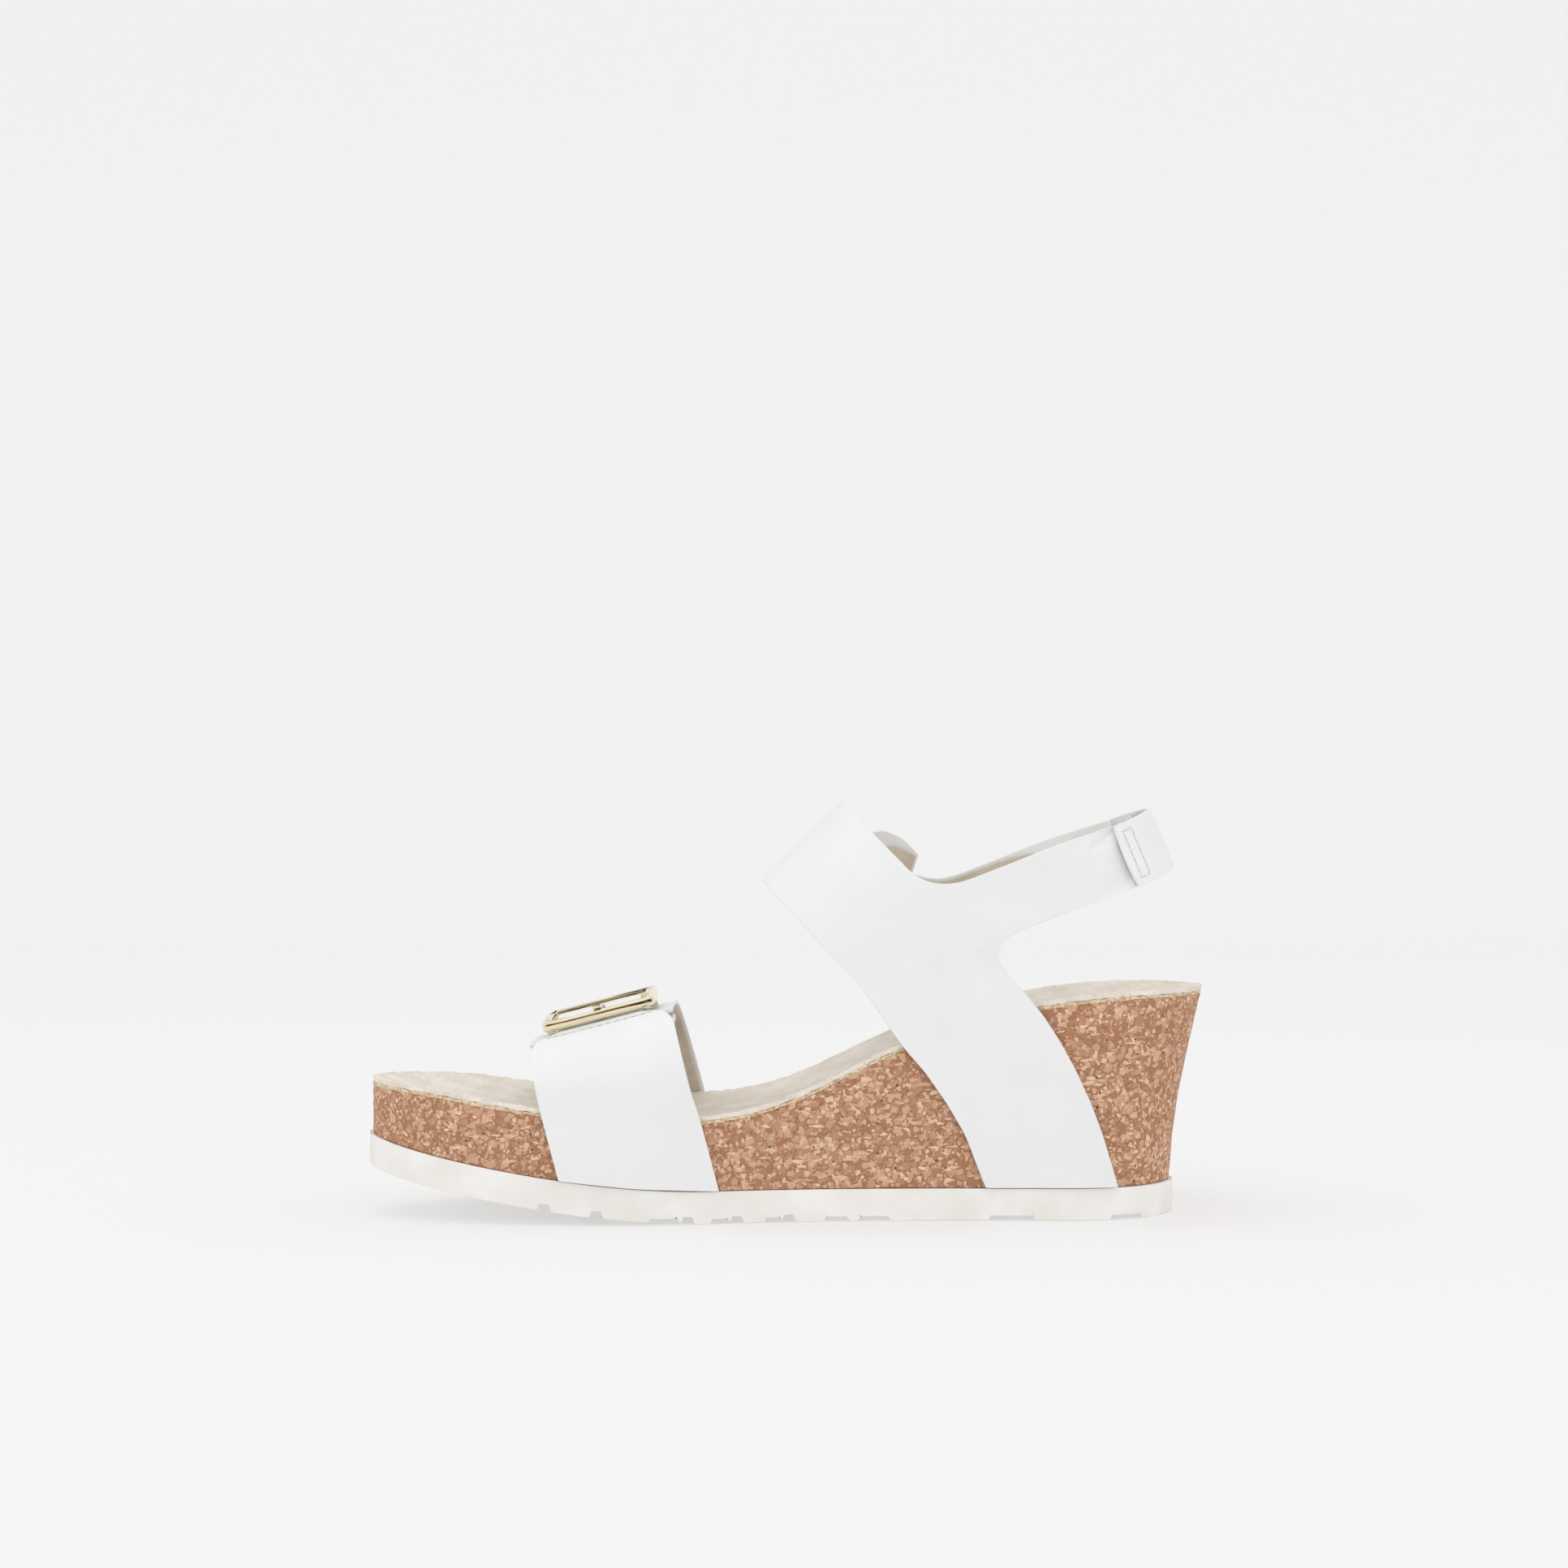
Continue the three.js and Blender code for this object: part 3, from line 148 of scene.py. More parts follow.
# ---------------------------------------------------------------- finishes
@dataclass(frozen=True)
class CoatedLeather:
    """Cow leather, split, buffed and coated with white pigment under a rolled satin film."""

    coat: str = "#efefef"
    thin_coat: str = "#ececec"
    roughness: float = 0.42
    pore_mm: float = 0.8
    pore_deep_mm: float = 0.02
    wave_mm: float = 16.0
    wave_deep_mm: float = 0.6

    def build(self) -> bpy.types.Material:
        """Builds the material."""
        material, tree, shader, place = new_finish("coated_white_leather", self.roughness)
        # The film hides nearly all grain, so the eye gets broad soft waves and faint pores.
        wave = add_node(tree, "TexNoise", {"Scale": per_metre(self.wave_mm)}, {"Vector": place})
        tint = add_node(
            tree,
            "ValToRGB",
            links={"Fac": wave.outputs["Fac"]},
            stops=[(0.3, self.thin_coat), (0.7, self.coat)],
        )
        pore = add_node(tree, "TexVoronoi", {"Scale": per_metre(self.pore_mm)}, {"Vector": place})
        soft = add_node(
            tree,
            "Bump",
            {"Distance": self.wave_deep_mm * MM, "Strength": 0.15},
            {"Height": wave.outputs["Fac"]},
        )
        grain = add_node(
            tree,
            "Bump",
            {"Distance": self.pore_deep_mm * MM, "Strength": 0.4},
            {"Height": pore.outputs["Distance"], "Normal": soft.outputs["Normal"]},
        )
        tree.links.new(tint.outputs["Color"], shader.inputs["Base Color"])
        tree.links.new(grain.outputs["Normal"], shader.inputs["Normal"])
        return material


@dataclass(frozen=True)
class CutLeather:
    """Chrome-tanned leather where a knife has cut it: undyed bluish grey fibre, left raw."""

    fibre: str = "#d6d9df"
    shade: str = "#a6abb5"
    mottle_mm: float = 0.8
    fibre_deep_mm: float = 0.2

    def build(self) -> bpy.types.Material:
        """Builds the material."""
        material, tree, shader, place = new_finish("raw_cut_leather", 0.95)
        # Clumps of fibre make the cool grey mottled and matt beside the white coat.
        clump = add_node(
            tree, "TexNoise", {"Scale": per_metre(self.mottle_mm), "Detail": 3.0}, {"Vector": place}
        )
        tint = add_node(
            tree,
            "ValToRGB",
            links={"Fac": clump.outputs["Fac"]},
            stops=[(0.35, self.shade), (0.6, self.fibre)],
        )
        fuzz = add_node(
            tree,
            "Bump",
            {"Distance": self.fibre_deep_mm * MM, "Strength": 0.6},
            {"Height": clump.outputs["Fac"]},
        )
        tree.links.new(tint.outputs["Color"], shader.inputs["Base Color"])
        tree.links.new(fuzz.outputs["Normal"], shader.inputs["Normal"])
        return material


@dataclass(frozen=True)
class NappedSuede:
    """Split leather, sanded until its fibres stand up in a short nap."""

    name: str
    light: str
    dark: str
    cloud_mm: float = 8.0
    nap_mm: float = 0.55
    nap_deep_mm: float = 0.2
    pepper: str = "#dcd6ce"

    def build(self) -> bpy.types.Material:
        """Builds the material."""
        material, tree, shader, place = new_finish(
            self.name, 0.95, Sheen_Weight=0.25, Sheen_Roughness=0.6, Specular_IOR_Level=0.2
        )
        # Nap that leans both ways gives uneven clouds, a peppery grain and a soft pale rim.
        cloud = add_node(
            tree, "TexNoise", {"Scale": per_metre(self.cloud_mm), "Detail": 3.0}, {"Vector": place}
        )
        nap = add_node(tree, "TexNoise", {"Scale": per_metre(self.nap_mm)}, {"Vector": place})
        broad = add_node(
            tree,
            "ValToRGB",
            links={"Fac": cloud.outputs["Fac"]},
            stops=[(0.35, self.dark), (0.65, self.light)],
        )
        pepper = add_node(
            tree,
            "ValToRGB",
            links={"Fac": nap.outputs["Fac"]},
            stops=[(0.3, self.pepper), (0.6, "#ffffff")],
        )
        both = add_node(
            tree,
            "Mix",
            {"data_type": "RGBA", "blend_type": "MULTIPLY", 0: 0.5},
            {6: broad.outputs["Color"], 7: pepper.outputs["Color"]},
        )
        stand = add_node(
            tree,
            "Bump",
            {"Distance": self.nap_deep_mm * MM, "Strength": 0.6},
            {"Height": nap.outputs["Fac"]},
        )
        tree.links.new(both.outputs[2], shader.inputs["Base Color"])
        tree.links.new(stand.outputs["Normal"], shader.inputs["Normal"])
        return material


@dataclass(frozen=True)
class Granules:
    """One size of cork chip in the pressed block.

    A chip is one cell of the pattern, drawn in by a share of its size from least to least + spread.
    """

    size_mm: float
    stretch: tuple[float, float, float]
    turn: tuple[float, float, float]
    least: float
    spread: float
    colours: tuple[str, ...]


@dataclass(frozen=True)
class PressedCork:
    """Ground cork bark pressed hot with a binder into a block, cut to shape and sanded."""

    dust: str = "#9c6e4e"
    dust_light: str = "#b98a6b"
    dust_mm: float = 0.7
    ragged_mm: float = 0.5
    ragged_wave_mm: float = 1.1
    sanded_deep_mm: float = 0.25
    granules: tuple[Granules, ...] = (
        Granules(2.2, (1, 1, 1), (0.3, 0.2, 0.1), 0.0, 0.22, ("#aa7857", "#c1947a", "#d6ac8f")),
        Granules(1.4, (1, 1.3, 1), (0.9, 0.4, 0.7), 0.04, 0.7, ("#c2947a", "#dcb496", "#e8c8ae")),
        Granules(3.4, (1, 2.4, 3.0), (0.4, 0.9, 0.2), 0.06, 0.9, ("#cfa284", "#e0b899", "#ecceb4")),
        Granules(3.2, (2.6, 1, 2.2), (0.8, 0.7, 1.1), 0.04, 1.0, ("#b58463", "#d8ae90", "#e6c4a8")),
    )
    bark: str = "#70503c"
    bark_mm: float = 2.2
    bark_spread: float = 0.9
    bark_least: float = -0.68
    pit_deep_mm: float = 0.3

    def build(self) -> bpy.types.Material:
        """Builds the material."""
        material, tree, shader, place = new_finish("pressed_cork_granules", 0.85, Specular_IOR_Level=0.25)
        # Pale chips of mixed size and direction lie in browner dust, with a few dark bark specks.
        ragged = add_node(
            tree, "TexNoise", {"Scale": per_metre(self.ragged_wave_mm), "Detail": 2.0}, {"Vector": place}
        )
        shift = add_node(
            tree,
            "VectorMath",
            {"operation": "SCALE", "Scale": self.ragged_mm * MM},
            {0: ragged.outputs["Color"]},
        )
        bent = add_node(tree, "VectorMath", {"operation": "ADD"}, {0: place, 1: shift.outputs[0]})
        powder = add_node(
            tree, "TexNoise", {"Scale": per_metre(self.dust_mm), "Detail": 3.0}, {"Vector": place}
        )
        body = add_node(
            tree,
            "ValToRGB",
            links={"Fac": powder.outputs["Fac"]},
            stops=[(0.35, self.dust), (0.65, self.dust_light)],
        ).outputs["Color"]
        for chip in self.granules:
            laid = add_node(
                tree, "Mapping", {"Rotation": chip.turn, "Scale": chip.stretch}, {"Vector": bent.outputs[0]}
            )
            cell = add_node(
                tree, "TexVoronoi", {"Scale": per_metre(chip.size_mm)}, {"Vector": laid.outputs["Vector"]}
            )
            wall = add_node(
                tree,
                "TexVoronoi",
                {"feature": "DISTANCE_TO_EDGE", "Scale": per_metre(chip.size_mm)},
                {"Vector": laid.outputs["Vector"]},
            )
            pick = add_node(tree, "SeparateColor", links={0: cell.outputs["Color"]})
            reach = add_node(
                tree,
                "Math",
                {"operation": "MULTIPLY_ADD", 1: chip.spread, 2: chip.least},
                {0: pick.outputs[0]},
            )
            inside = add_node(
                tree,
                "Math",
                {"operation": "GREATER_THAN"},
                {0: wall.outputs["Distance"], 1: reach.outputs[0]},
            )
            steps = [(0.5 * i, code) for i, code in enumerate(chip.colours)]
            tint = add_node(tree, "ValToRGB", links={"Fac": pick.outputs[1]}, stops=steps)
            body = add_node(
                tree,
                "Mix",
                {"data_type": "RGBA"},
                {0: inside.outputs[0], 6: body, 7: tint.outputs["Color"]},
            ).outputs[2]
        speck = add_node(
            tree, "TexVoronoi", {"Scale": per_metre(self.bark_mm)}, {"Vector": bent.outputs[0]}
        )
        chance = add_node(tree, "SeparateColor", links={0: speck.outputs["Color"]})
        size = add_node(
            tree,
            "Math",
            {"operation": "MULTIPLY_ADD", 1: self.bark_spread, 2: self.bark_least},
            {0: chance.outputs[2]},
        )
        dark = add_node(
            tree, "Math", {"operation": "LESS_THAN"}, {0: speck.outputs["Distance"], 1: size.outputs[0]}
        )
        body = add_node(
            tree, "Mix", {"data_type": "RGBA", 7: srgb(self.bark)}, {0: dark.outputs[0], 6: body}
        ).outputs[2]
        sanded = add_node(
            tree,
            "Bump",
            {"Distance": self.sanded_deep_mm * MM, "Strength": 0.5},
            {"Height": powder.outputs["Fac"]},
        )
        pit = add_node(
            tree,
            "Bump",
            {"Distance": self.pit_deep_mm * MM, "Strength": 0.7, "invert": True},
            {"Height": dark.outputs[0], "Normal": sanded.outputs["Normal"]},
        )
        tree.links.new(body, shader.inputs["Base Color"])
        tree.links.new(pit.outputs["Normal"], shader.inputs["Normal"])
        return material


@dataclass(frozen=True)
class MouldedFoam:
    """Foamed EVA rubber pressed in a mould, which leaves a fine closed skin."""

    skin: str = "#f4f2ef"
    shade: str = "#ebe7e1"
    cloud_mm: float = 12.0
    pebble_mm: float = 0.8
    pebble_deep_mm: float = 0.06

    def build(self) -> bpy.types.Material:
        """Builds the material."""
        material, tree, shader, place = new_finish("moulded_foam_rubber", 0.6)
        # The skin is almost even, with warm clouds and the faintest pebble.
        cloud = add_node(tree, "TexNoise", {"Scale": per_metre(self.cloud_mm)}, {"Vector": place})
        pebble = add_node(tree, "TexNoise", {"Scale": per_metre(self.pebble_mm)}, {"Vector": place})
        tint = add_node(
            tree,
            "ValToRGB",
            links={"Fac": cloud.outputs["Fac"]},
            stops=[(0.3, self.shade), (0.7, self.skin)],
        )
        fine = add_node(
            tree,
            "Bump",
            {"Distance": self.pebble_deep_mm * MM, "Strength": 0.5},
            {"Height": pebble.outputs["Fac"]},
        )
        tree.links.new(tint.outputs["Color"], shader.inputs["Base Color"])
        tree.links.new(fine.outputs["Normal"], shader.inputs["Normal"])
        return material


@dataclass(frozen=True)
class WovenJute:
    """Plain-woven jute cloth, cut flush with the cork."""

    yarn: str = "#e9d6bb"
    gap: str = "#c6a780"
    yarn_mm: float = 0.9
    yarn_deep_mm: float = 0.3

    def build(self) -> bpy.types.Material:
        """Builds the material."""
        material, tree, shader, place = new_finish("woven_jute_cloth", 0.95)
        # Cut yarn ends make the thin line uneven, tan beside darker gaps.
        ends = add_node(
            tree, "TexNoise", {"Scale": per_metre(self.yarn_mm), "Detail": 3.0}, {"Vector": place}
        )
        tint = add_node(
            tree,
            "ValToRGB",
            links={"Fac": ends.outputs["Fac"]},
            stops=[(0.38, self.gap), (0.6, self.yarn)],
        )
        loose = add_node(
            tree,
            "Bump",
            {"Distance": self.yarn_deep_mm * MM, "Strength": 0.8},
            {"Height": ends.outputs["Fac"]},
        )
        tree.links.new(tint.outputs["Color"], shader.inputs["Base Color"])
        tree.links.new(loose.outputs["Normal"], shader.inputs["Normal"])
        return material


@dataclass(frozen=True)
class PolishedGilt:
    """Zinc casting, tumbled, polished and plated in pale gold."""

    plate: str = "#f5e6c4"
    haze_mm: float = 4.0
    ripple_deep_mm: float = 0.05

    def build(self) -> bpy.types.Material:
        """Builds the material."""
        material, tree, shader, place = new_finish("polished_gilt_zinc", 0.14, Metallic=1.0)
        # Hard bright and dark reflections, broken a little by the tumbling.
        haze = add_node(tree, "TexNoise", {"Scale": per_metre(self.haze_mm)}, {"Vector": place})
        gloss = add_node(
            tree,
            "MapRange",
            {"From Min": 0.3, "From Max": 0.7, "To Min": 0.08, "To Max": 0.2},
            {"Value": haze.outputs["Fac"]},
        )
        ripple = add_node(
            tree,
            "Bump",
            {"Distance": self.ripple_deep_mm * MM, "Strength": 0.3},
            {"Height": haze.outputs["Fac"]},
        )
        tree.links.new(gloss.outputs["Result"], shader.inputs["Roughness"])
        tree.links.new(ripple.outputs["Normal"], shader.inputs["Normal"])
        shader.inputs["Base Color"].default_value = srgb(self.plate)
        return material


@dataclass(frozen=True)
class SewingThread:
    """Bonded polyester thread, spun from filaments and waxed."""

    fibre: str = "#f3f2f0"
    shade: str = "#d5d2cc"
    twist_mm: float = 0.4
    twist_deep_mm: float = 0.1

    def build(self) -> bpy.types.Material:
        """Builds the material."""
        material, tree, shader, place = new_finish("bonded_sewing_thread", 0.55)
        # The twist shows as fine shading along each stitch.
        twist = add_node(tree, "TexNoise", {"Scale": per_metre(self.twist_mm)}, {"Vector": place})
        tint = add_node(
            tree,
            "ValToRGB",
            links={"Fac": twist.outputs["Fac"]},
            stops=[(0.35, self.shade), (0.6, self.fibre)],
        )
        lay = add_node(
            tree,
            "Bump",
            {"Distance": self.twist_deep_mm * MM, "Strength": 0.5},
            {"Height": twist.outputs["Fac"]},
        )
        tree.links.new(tint.outputs["Color"], shader.inputs["Base Color"])
        tree.links.new(lay.outputs["Normal"], shader.inputs["Normal"])
        return material


@dataclass(frozen=True)
class NylonTape:
    """Hook and loop tape, knitted from nylon with a brushed or a hooked face."""

    pile: str = "#e9e6e1"
    ground: str = "#c9c4bc"
    tuft_mm: float = 0.7
    tuft_deep_mm: float = 0.4

    def build(self) -> bpy.types.Material:
        """Builds the material."""
        material, tree, shader, place = new_finish("knitted_nylon_tape", 0.95, Sheen_Weight=0.3)
        # Rows of tufts read as a rough, light face over a darker ground.
        tuft = add_node(tree, "TexVoronoi", {"Scale": per_metre(self.tuft_mm)}, {"Vector": place})
        tint = add_node(
            tree,
            "ValToRGB",
            links={"Fac": tuft.outputs["Distance"]},
            stops=[(0.2, self.pile), (0.7, self.ground)],
        )
        brushed = add_node(
            tree,
            "Bump",
            {"Distance": self.tuft_deep_mm * MM, "Strength": 0.9, "invert": True},
            {"Height": tuft.outputs["Distance"]},
        )
        tree.links.new(tint.outputs["Color"], shader.inputs["Base Color"])
        tree.links.new(brushed.outputs["Normal"], shader.inputs["Normal"])
        return material


@dataclass(frozen=True)
class PaintedHoleShade:
    """Painted shade of the hole that a needle leaves in leather, a browner dark than the coat."""

    # Dark and lighter tones of the painted shade inside a needle hole.
    inside: str = "#8a7d70"
    rim: str = "#aba093"
    torn_mm: float = 0.4

    def build(self) -> bpy.types.Material:
        """Builds the material."""
        material, tree, shader, place = new_finish("painted_needle_hole_shade", 1.0)
        # The painted shade is uneven, lighter where torn fibre would catch a little light.
        torn = add_node(tree, "TexNoise", {"Scale": per_metre(self.torn_mm)}, {"Vector": place})
        tint = add_node(
            tree,
            "ValToRGB",
            links={"Fac": torn.outputs["Fac"]},
            stops=[(0.4, self.inside), (0.7, self.rim)],
        )
        tree.links.new(tint.outputs["Color"], shader.inputs["Base Color"])
        return material


class Finishes:
    """Every finish of the sandal, built once."""

    def __init__(self) -> None:
        """Builds the materials."""
        self.leather = CoatedLeather().build()
        self.raw = CutLeather().build()
        self.suede = NappedSuede("suede_strap_lining", "#d9cfc1", "#c6baa9").build()
        self.footbed = NappedSuede("suede_footbed", "#f3ece2", "#e6dccf").build()
        self.cork = PressedCork().build()
        self.foam = MouldedFoam().build()
        self.jute = WovenJute().build()
        self.gilt = PolishedGilt().build()
        self.thread = SewingThread().build()
        self.tape = NylonTape().build()
        # Painted shade for the mouths of the needle holes.
        self.hole = PaintedHoleShade().build()

    def plies(self) -> tuple[bpy.types.Material, ...]:
        """Gives the coat, the cut edge and the raw back of strap leather."""
        return (self.leather, self.raw, self.raw)


# ---------------------------------------------------------------- how pieces move
@dataclass(frozen=True)
class Ride:
    """A piece that moves with one body."""

    body: str = "sandal"

    def attach(self, piece: bpy.types.Object) -> None:
        """Fixes the piece to the body."""
        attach(piece, self.body)


@dataclass(frozen=True)
class Bend:
    """A piece across a joint between two bodies; it is not bent."""

    joint: str
    body: str
    across: Vector
    reach_mm: float = 7.0

    def pivot(self) -> Vector:
        """Gives the joint's place."""
        joints = frame["record"]["behaviour"]["joints"]
        return Vector(next(j["pos_m"] for j in joints if j["name"] == self.joint))

    def attach(self, piece: bpy.types.Object) -> None:
        """Bakes the piece's place into its mesh, without bending it."""
        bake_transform(piece)


# ---------------------------------------------------------------- meshes from the frame
class Ply(Enum):
    """The three sides of a cut piece of leather."""

    OUTER = 0
    EDGE = 1
    INNER = 2


@dataclass(frozen=True)
class Refinement:
    """How a coarse solid becomes a finished one."""

    round_mm: float = 0.3
    round_steps: int = 2
    levels: int = 2
    sharp_degrees: float = 38.0


WELD_MM = 0.01
SPLIT_NEAR_MM = 40.0
HEEL_CORE_X = 0.085
STRAP = Refinement()
LINING = Refinement(round_mm=0.15, round_steps=1)


def gathered(nodes: Sequence[str]) -> bmesh.types.BMesh:
    """Copies frame nodes into one mesh and welds their corners.

    Args:
        nodes: the frame nodes to copy.

    Returns:
        The mesh, in the row's frame.
    """
    shape = bmesh.new()
    for node in nodes:
        source = frame["nodes"][node]
        mesh = source.data.copy()
        mesh.transform(source.matrix_world)
        shape.from_mesh(mesh)
        bpy.data.meshes.remove(mesh)
    for layer in list(shape.loops.layers.uv.values()):
        shape.loops.layers.uv.remove(layer)
    bmesh.ops.remove_doubles(shape, verts=shape.verts, dist=WELD_MM * MM)
    return shape


def close_split(shape: bmesh.types.BMesh, bend: Bend, gap_mm: float = 1.0) -> None:
    """Joins two parts of a strap that the frame splits at a joint.

    Args:
        shape: both parts.
        bend: the joint and the direction across the split.
        gap_mm: the split is narrower than this.
    """
    pivot = bend.pivot()
    across = bend.across.normalized()
    near = [v for v in shape.verts if (v.co - pivot).length < SPLIT_NEAR_MM * MM]
    before = [v for v in near if -gap_mm * MM < (v.co - pivot).dot(across) < 0]
    after = [v for v in near if 0 < (v.co - pivot).dot(across) < gap_mm * MM]
    joined = set()
    for vert in before:
        other = min(after, key=lambda v: (v.co - vert.co).length)
        if (other.co - vert.co).length < gap_mm * MM:
            middle = (vert.co + other.co) / 2
            vert.co = middle
            other.co = middle
            joined.update((vert, other))
    caps = [f for f in shape.faces if all(v in joined for v in f.verts)]
    bmesh.ops.delete(shape, geom=caps, context="FACES_ONLY")
    bmesh.ops.remove_doubles(shape, verts=shape.verts, dist=WELD_MM * MM)
    log.info("%s: %d corners joined, %d end faces removed", bend.joint, len(joined), len(caps))


def core_near(shape: bmesh.types.BMesh) -> Vector:
    """Gives a point inside the foot next to a strap."""
    low = np.min([v.co for v in shape.verts], axis=0)
    high = np.max([v.co for v in shape.verts], axis=0)
    middle = (low + high) / 2
    return Vector((min(middle[0], HEEL_CORE_X), 0.0, middle[2]))


def mark_plies(shape: bmesh.types.BMesh, sharp_degrees: float) -> None:
    """Sorts a sheet's faces into its outer side, its cut edge and its inner side.

    Args:
        shape: the sheet.
        sharp_degrees: faces that meet at more than this are on different sides.
    """
    core = core_near(shape)
    limit = math.radians(sharp_degrees)
    shape.faces.index_update()
    seen: set[int] = set()
    regions: list[list[bmesh.types.BMFace]] = []
    for start in shape.faces:
        if start.index in seen:
            continue
        seen.add(start.index)
        region = [start]
        for face in region:
            for edge in face.edges:
                if len(edge.link_faces) != 2 or edge.calc_face_angle(0.0) > limit:
                    continue
                for other in edge.link_faces:
                    if other.index not in seen:
                        seen.add(other.index)
                        region.append(other)
        regions.append(region)
    regions.sort(key=lambda faces: -sum(f.calc_area() for f in faces))
    for place, region in enumerate(regions):
        side = Ply.EDGE
        if place < 2:
            out = sum(f.normal.dot(f.calc_center_median() - core) * f.calc_area() for f in region)
            side = Ply.OUTER if out > 0 else Ply.INNER
        for face in region:
            face.material_index = side.value


def new_piece(name: str, shape: bmesh.types.BMesh) -> bpy.types.Object:
    """Turns a mesh into an object of the scene.

    Args:
        name: the object's name.
        shape: its mesh, which is freed.

    Returns:
        The object.
    """
    mesh = bpy.data.meshes.new(name)
    shape.to_mesh(mesh)
    shape.free()
    piece = bpy.data.objects.new(name, mesh)
    bpy.context.scene.collection.objects.link(piece)
    return piece


def refine(piece: bpy.types.Object, how: Refinement) -> None:
    """Rounds the corners of a piece, smooths its surface and applies both.

    Args:
        piece: the object to finish.
        how: the amounts.
    """
    rounding = piece.modifiers.new("round", "BEVEL")
    rounding.width = how.round_mm * MM
    rounding.segments = how.round_steps
    rounding.limit_method = "ANGLE"
    rounding.angle_limit = math.radians(how.sharp_degrees)
    rounding.use_clamp_overlap = True
    if how.levels:
        smoothing = piece.modifiers.new("smooth", "SUBSURF")
        smoothing.levels = how.levels
        smoothing.render_levels = how.levels
    graph = bpy.context.evaluated_depsgraph_get()
    final = bpy.data.meshes.new_from_object(piece.evaluated_get(graph))
    coarse = piece.data
    piece.modifiers.clear()
    piece.data = final
    bpy.data.meshes.remove(coarse)
    piece.data.shade_smooth()


Shaper = Callable[[Vector, Vector], Vector]


def shaped(piece: bpy.types.Object, move: Shaper) -> None:
    """Moves every point of a piece by a function of its place and normal.

    Args:
        piece: the object.
        move: gives the shift of a point.
    """
    shifts = [move(v.co.copy(), v.normal.copy()) for v in piece.data.vertices]
    for vert, shift in zip(piece.data.vertices, shifts):
        vert.co += shift
    piece.data.update()


def settle(
    piece: bpy.types.Object, nodes: Sequence[str], slot: str, way: Ride | Bend, *materials: bpy.types.Material
) -> bpy.types.Object:
    """Dresses a piece, hides the frame nodes it stands for and fixes how it moves.

    Args:
        piece: the finished object.
        nodes: the frame nodes it stands for.
        slot: the record's material slot; not used.
        way: how it moves.
        materials: its materials in the order of its face indices.

    Returns:
        The piece.
    """
    piece.data.materials.clear()
    for material in materials:
        piece.data.materials.append(material)
    if nodes:
        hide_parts(*nodes)
    way.attach(piece)
    log.info("%s: %d faces", piece.name, len(piece.data.polygons))
    return piece


def finished(
    node: str,
    slot: str,
    materials: Sequence[bpy.types.Material],
    how: Refinement = STRAP,
    way: Ride | Bend = Ride(),
    move: Shaper | None = None,
) -> bpy.types.Object:
    """Makes a finished piece that stands for one frame node.

    Args:
        node: the node, which also names the piece.
        slot: the record's material slot.
        materials: one material, or three for the plies.
        how: the rounding and smoothing.
        way: how it moves.
        move: an extra shaping of its surface.

    Returns:
        The piece.
    """
    shape = gathered([node])
    if len(materials) == len(Ply):
        mark_plies(shape, how.sharp_degrees)
    piece = new_piece(node, shape)
    refine(piece, how)
    if move:
        shaped(piece, move)
    return settle(piece, [node], slot, way, *materials)


def rough(amount_mm: float, size_mm: float, swell_mm: float = 0.0) -> Shaper:
    """Gives a shaping that makes a surface a little uneven.

    Args:
        amount_mm: the largest shift.
        size_mm: the size of one bump.
        swell_mm: how far the whole surface moves out, so that glued layers touch.

    Returns:
        The shaping.
    """

    def move(place: Vector, normal: Vector) -> Vector:
        """Shifts one point along its normal."""
        return normal * (noise.noise(place * per_metre(size_mm)) * amount_mm + swell_mm) * MM

    return move


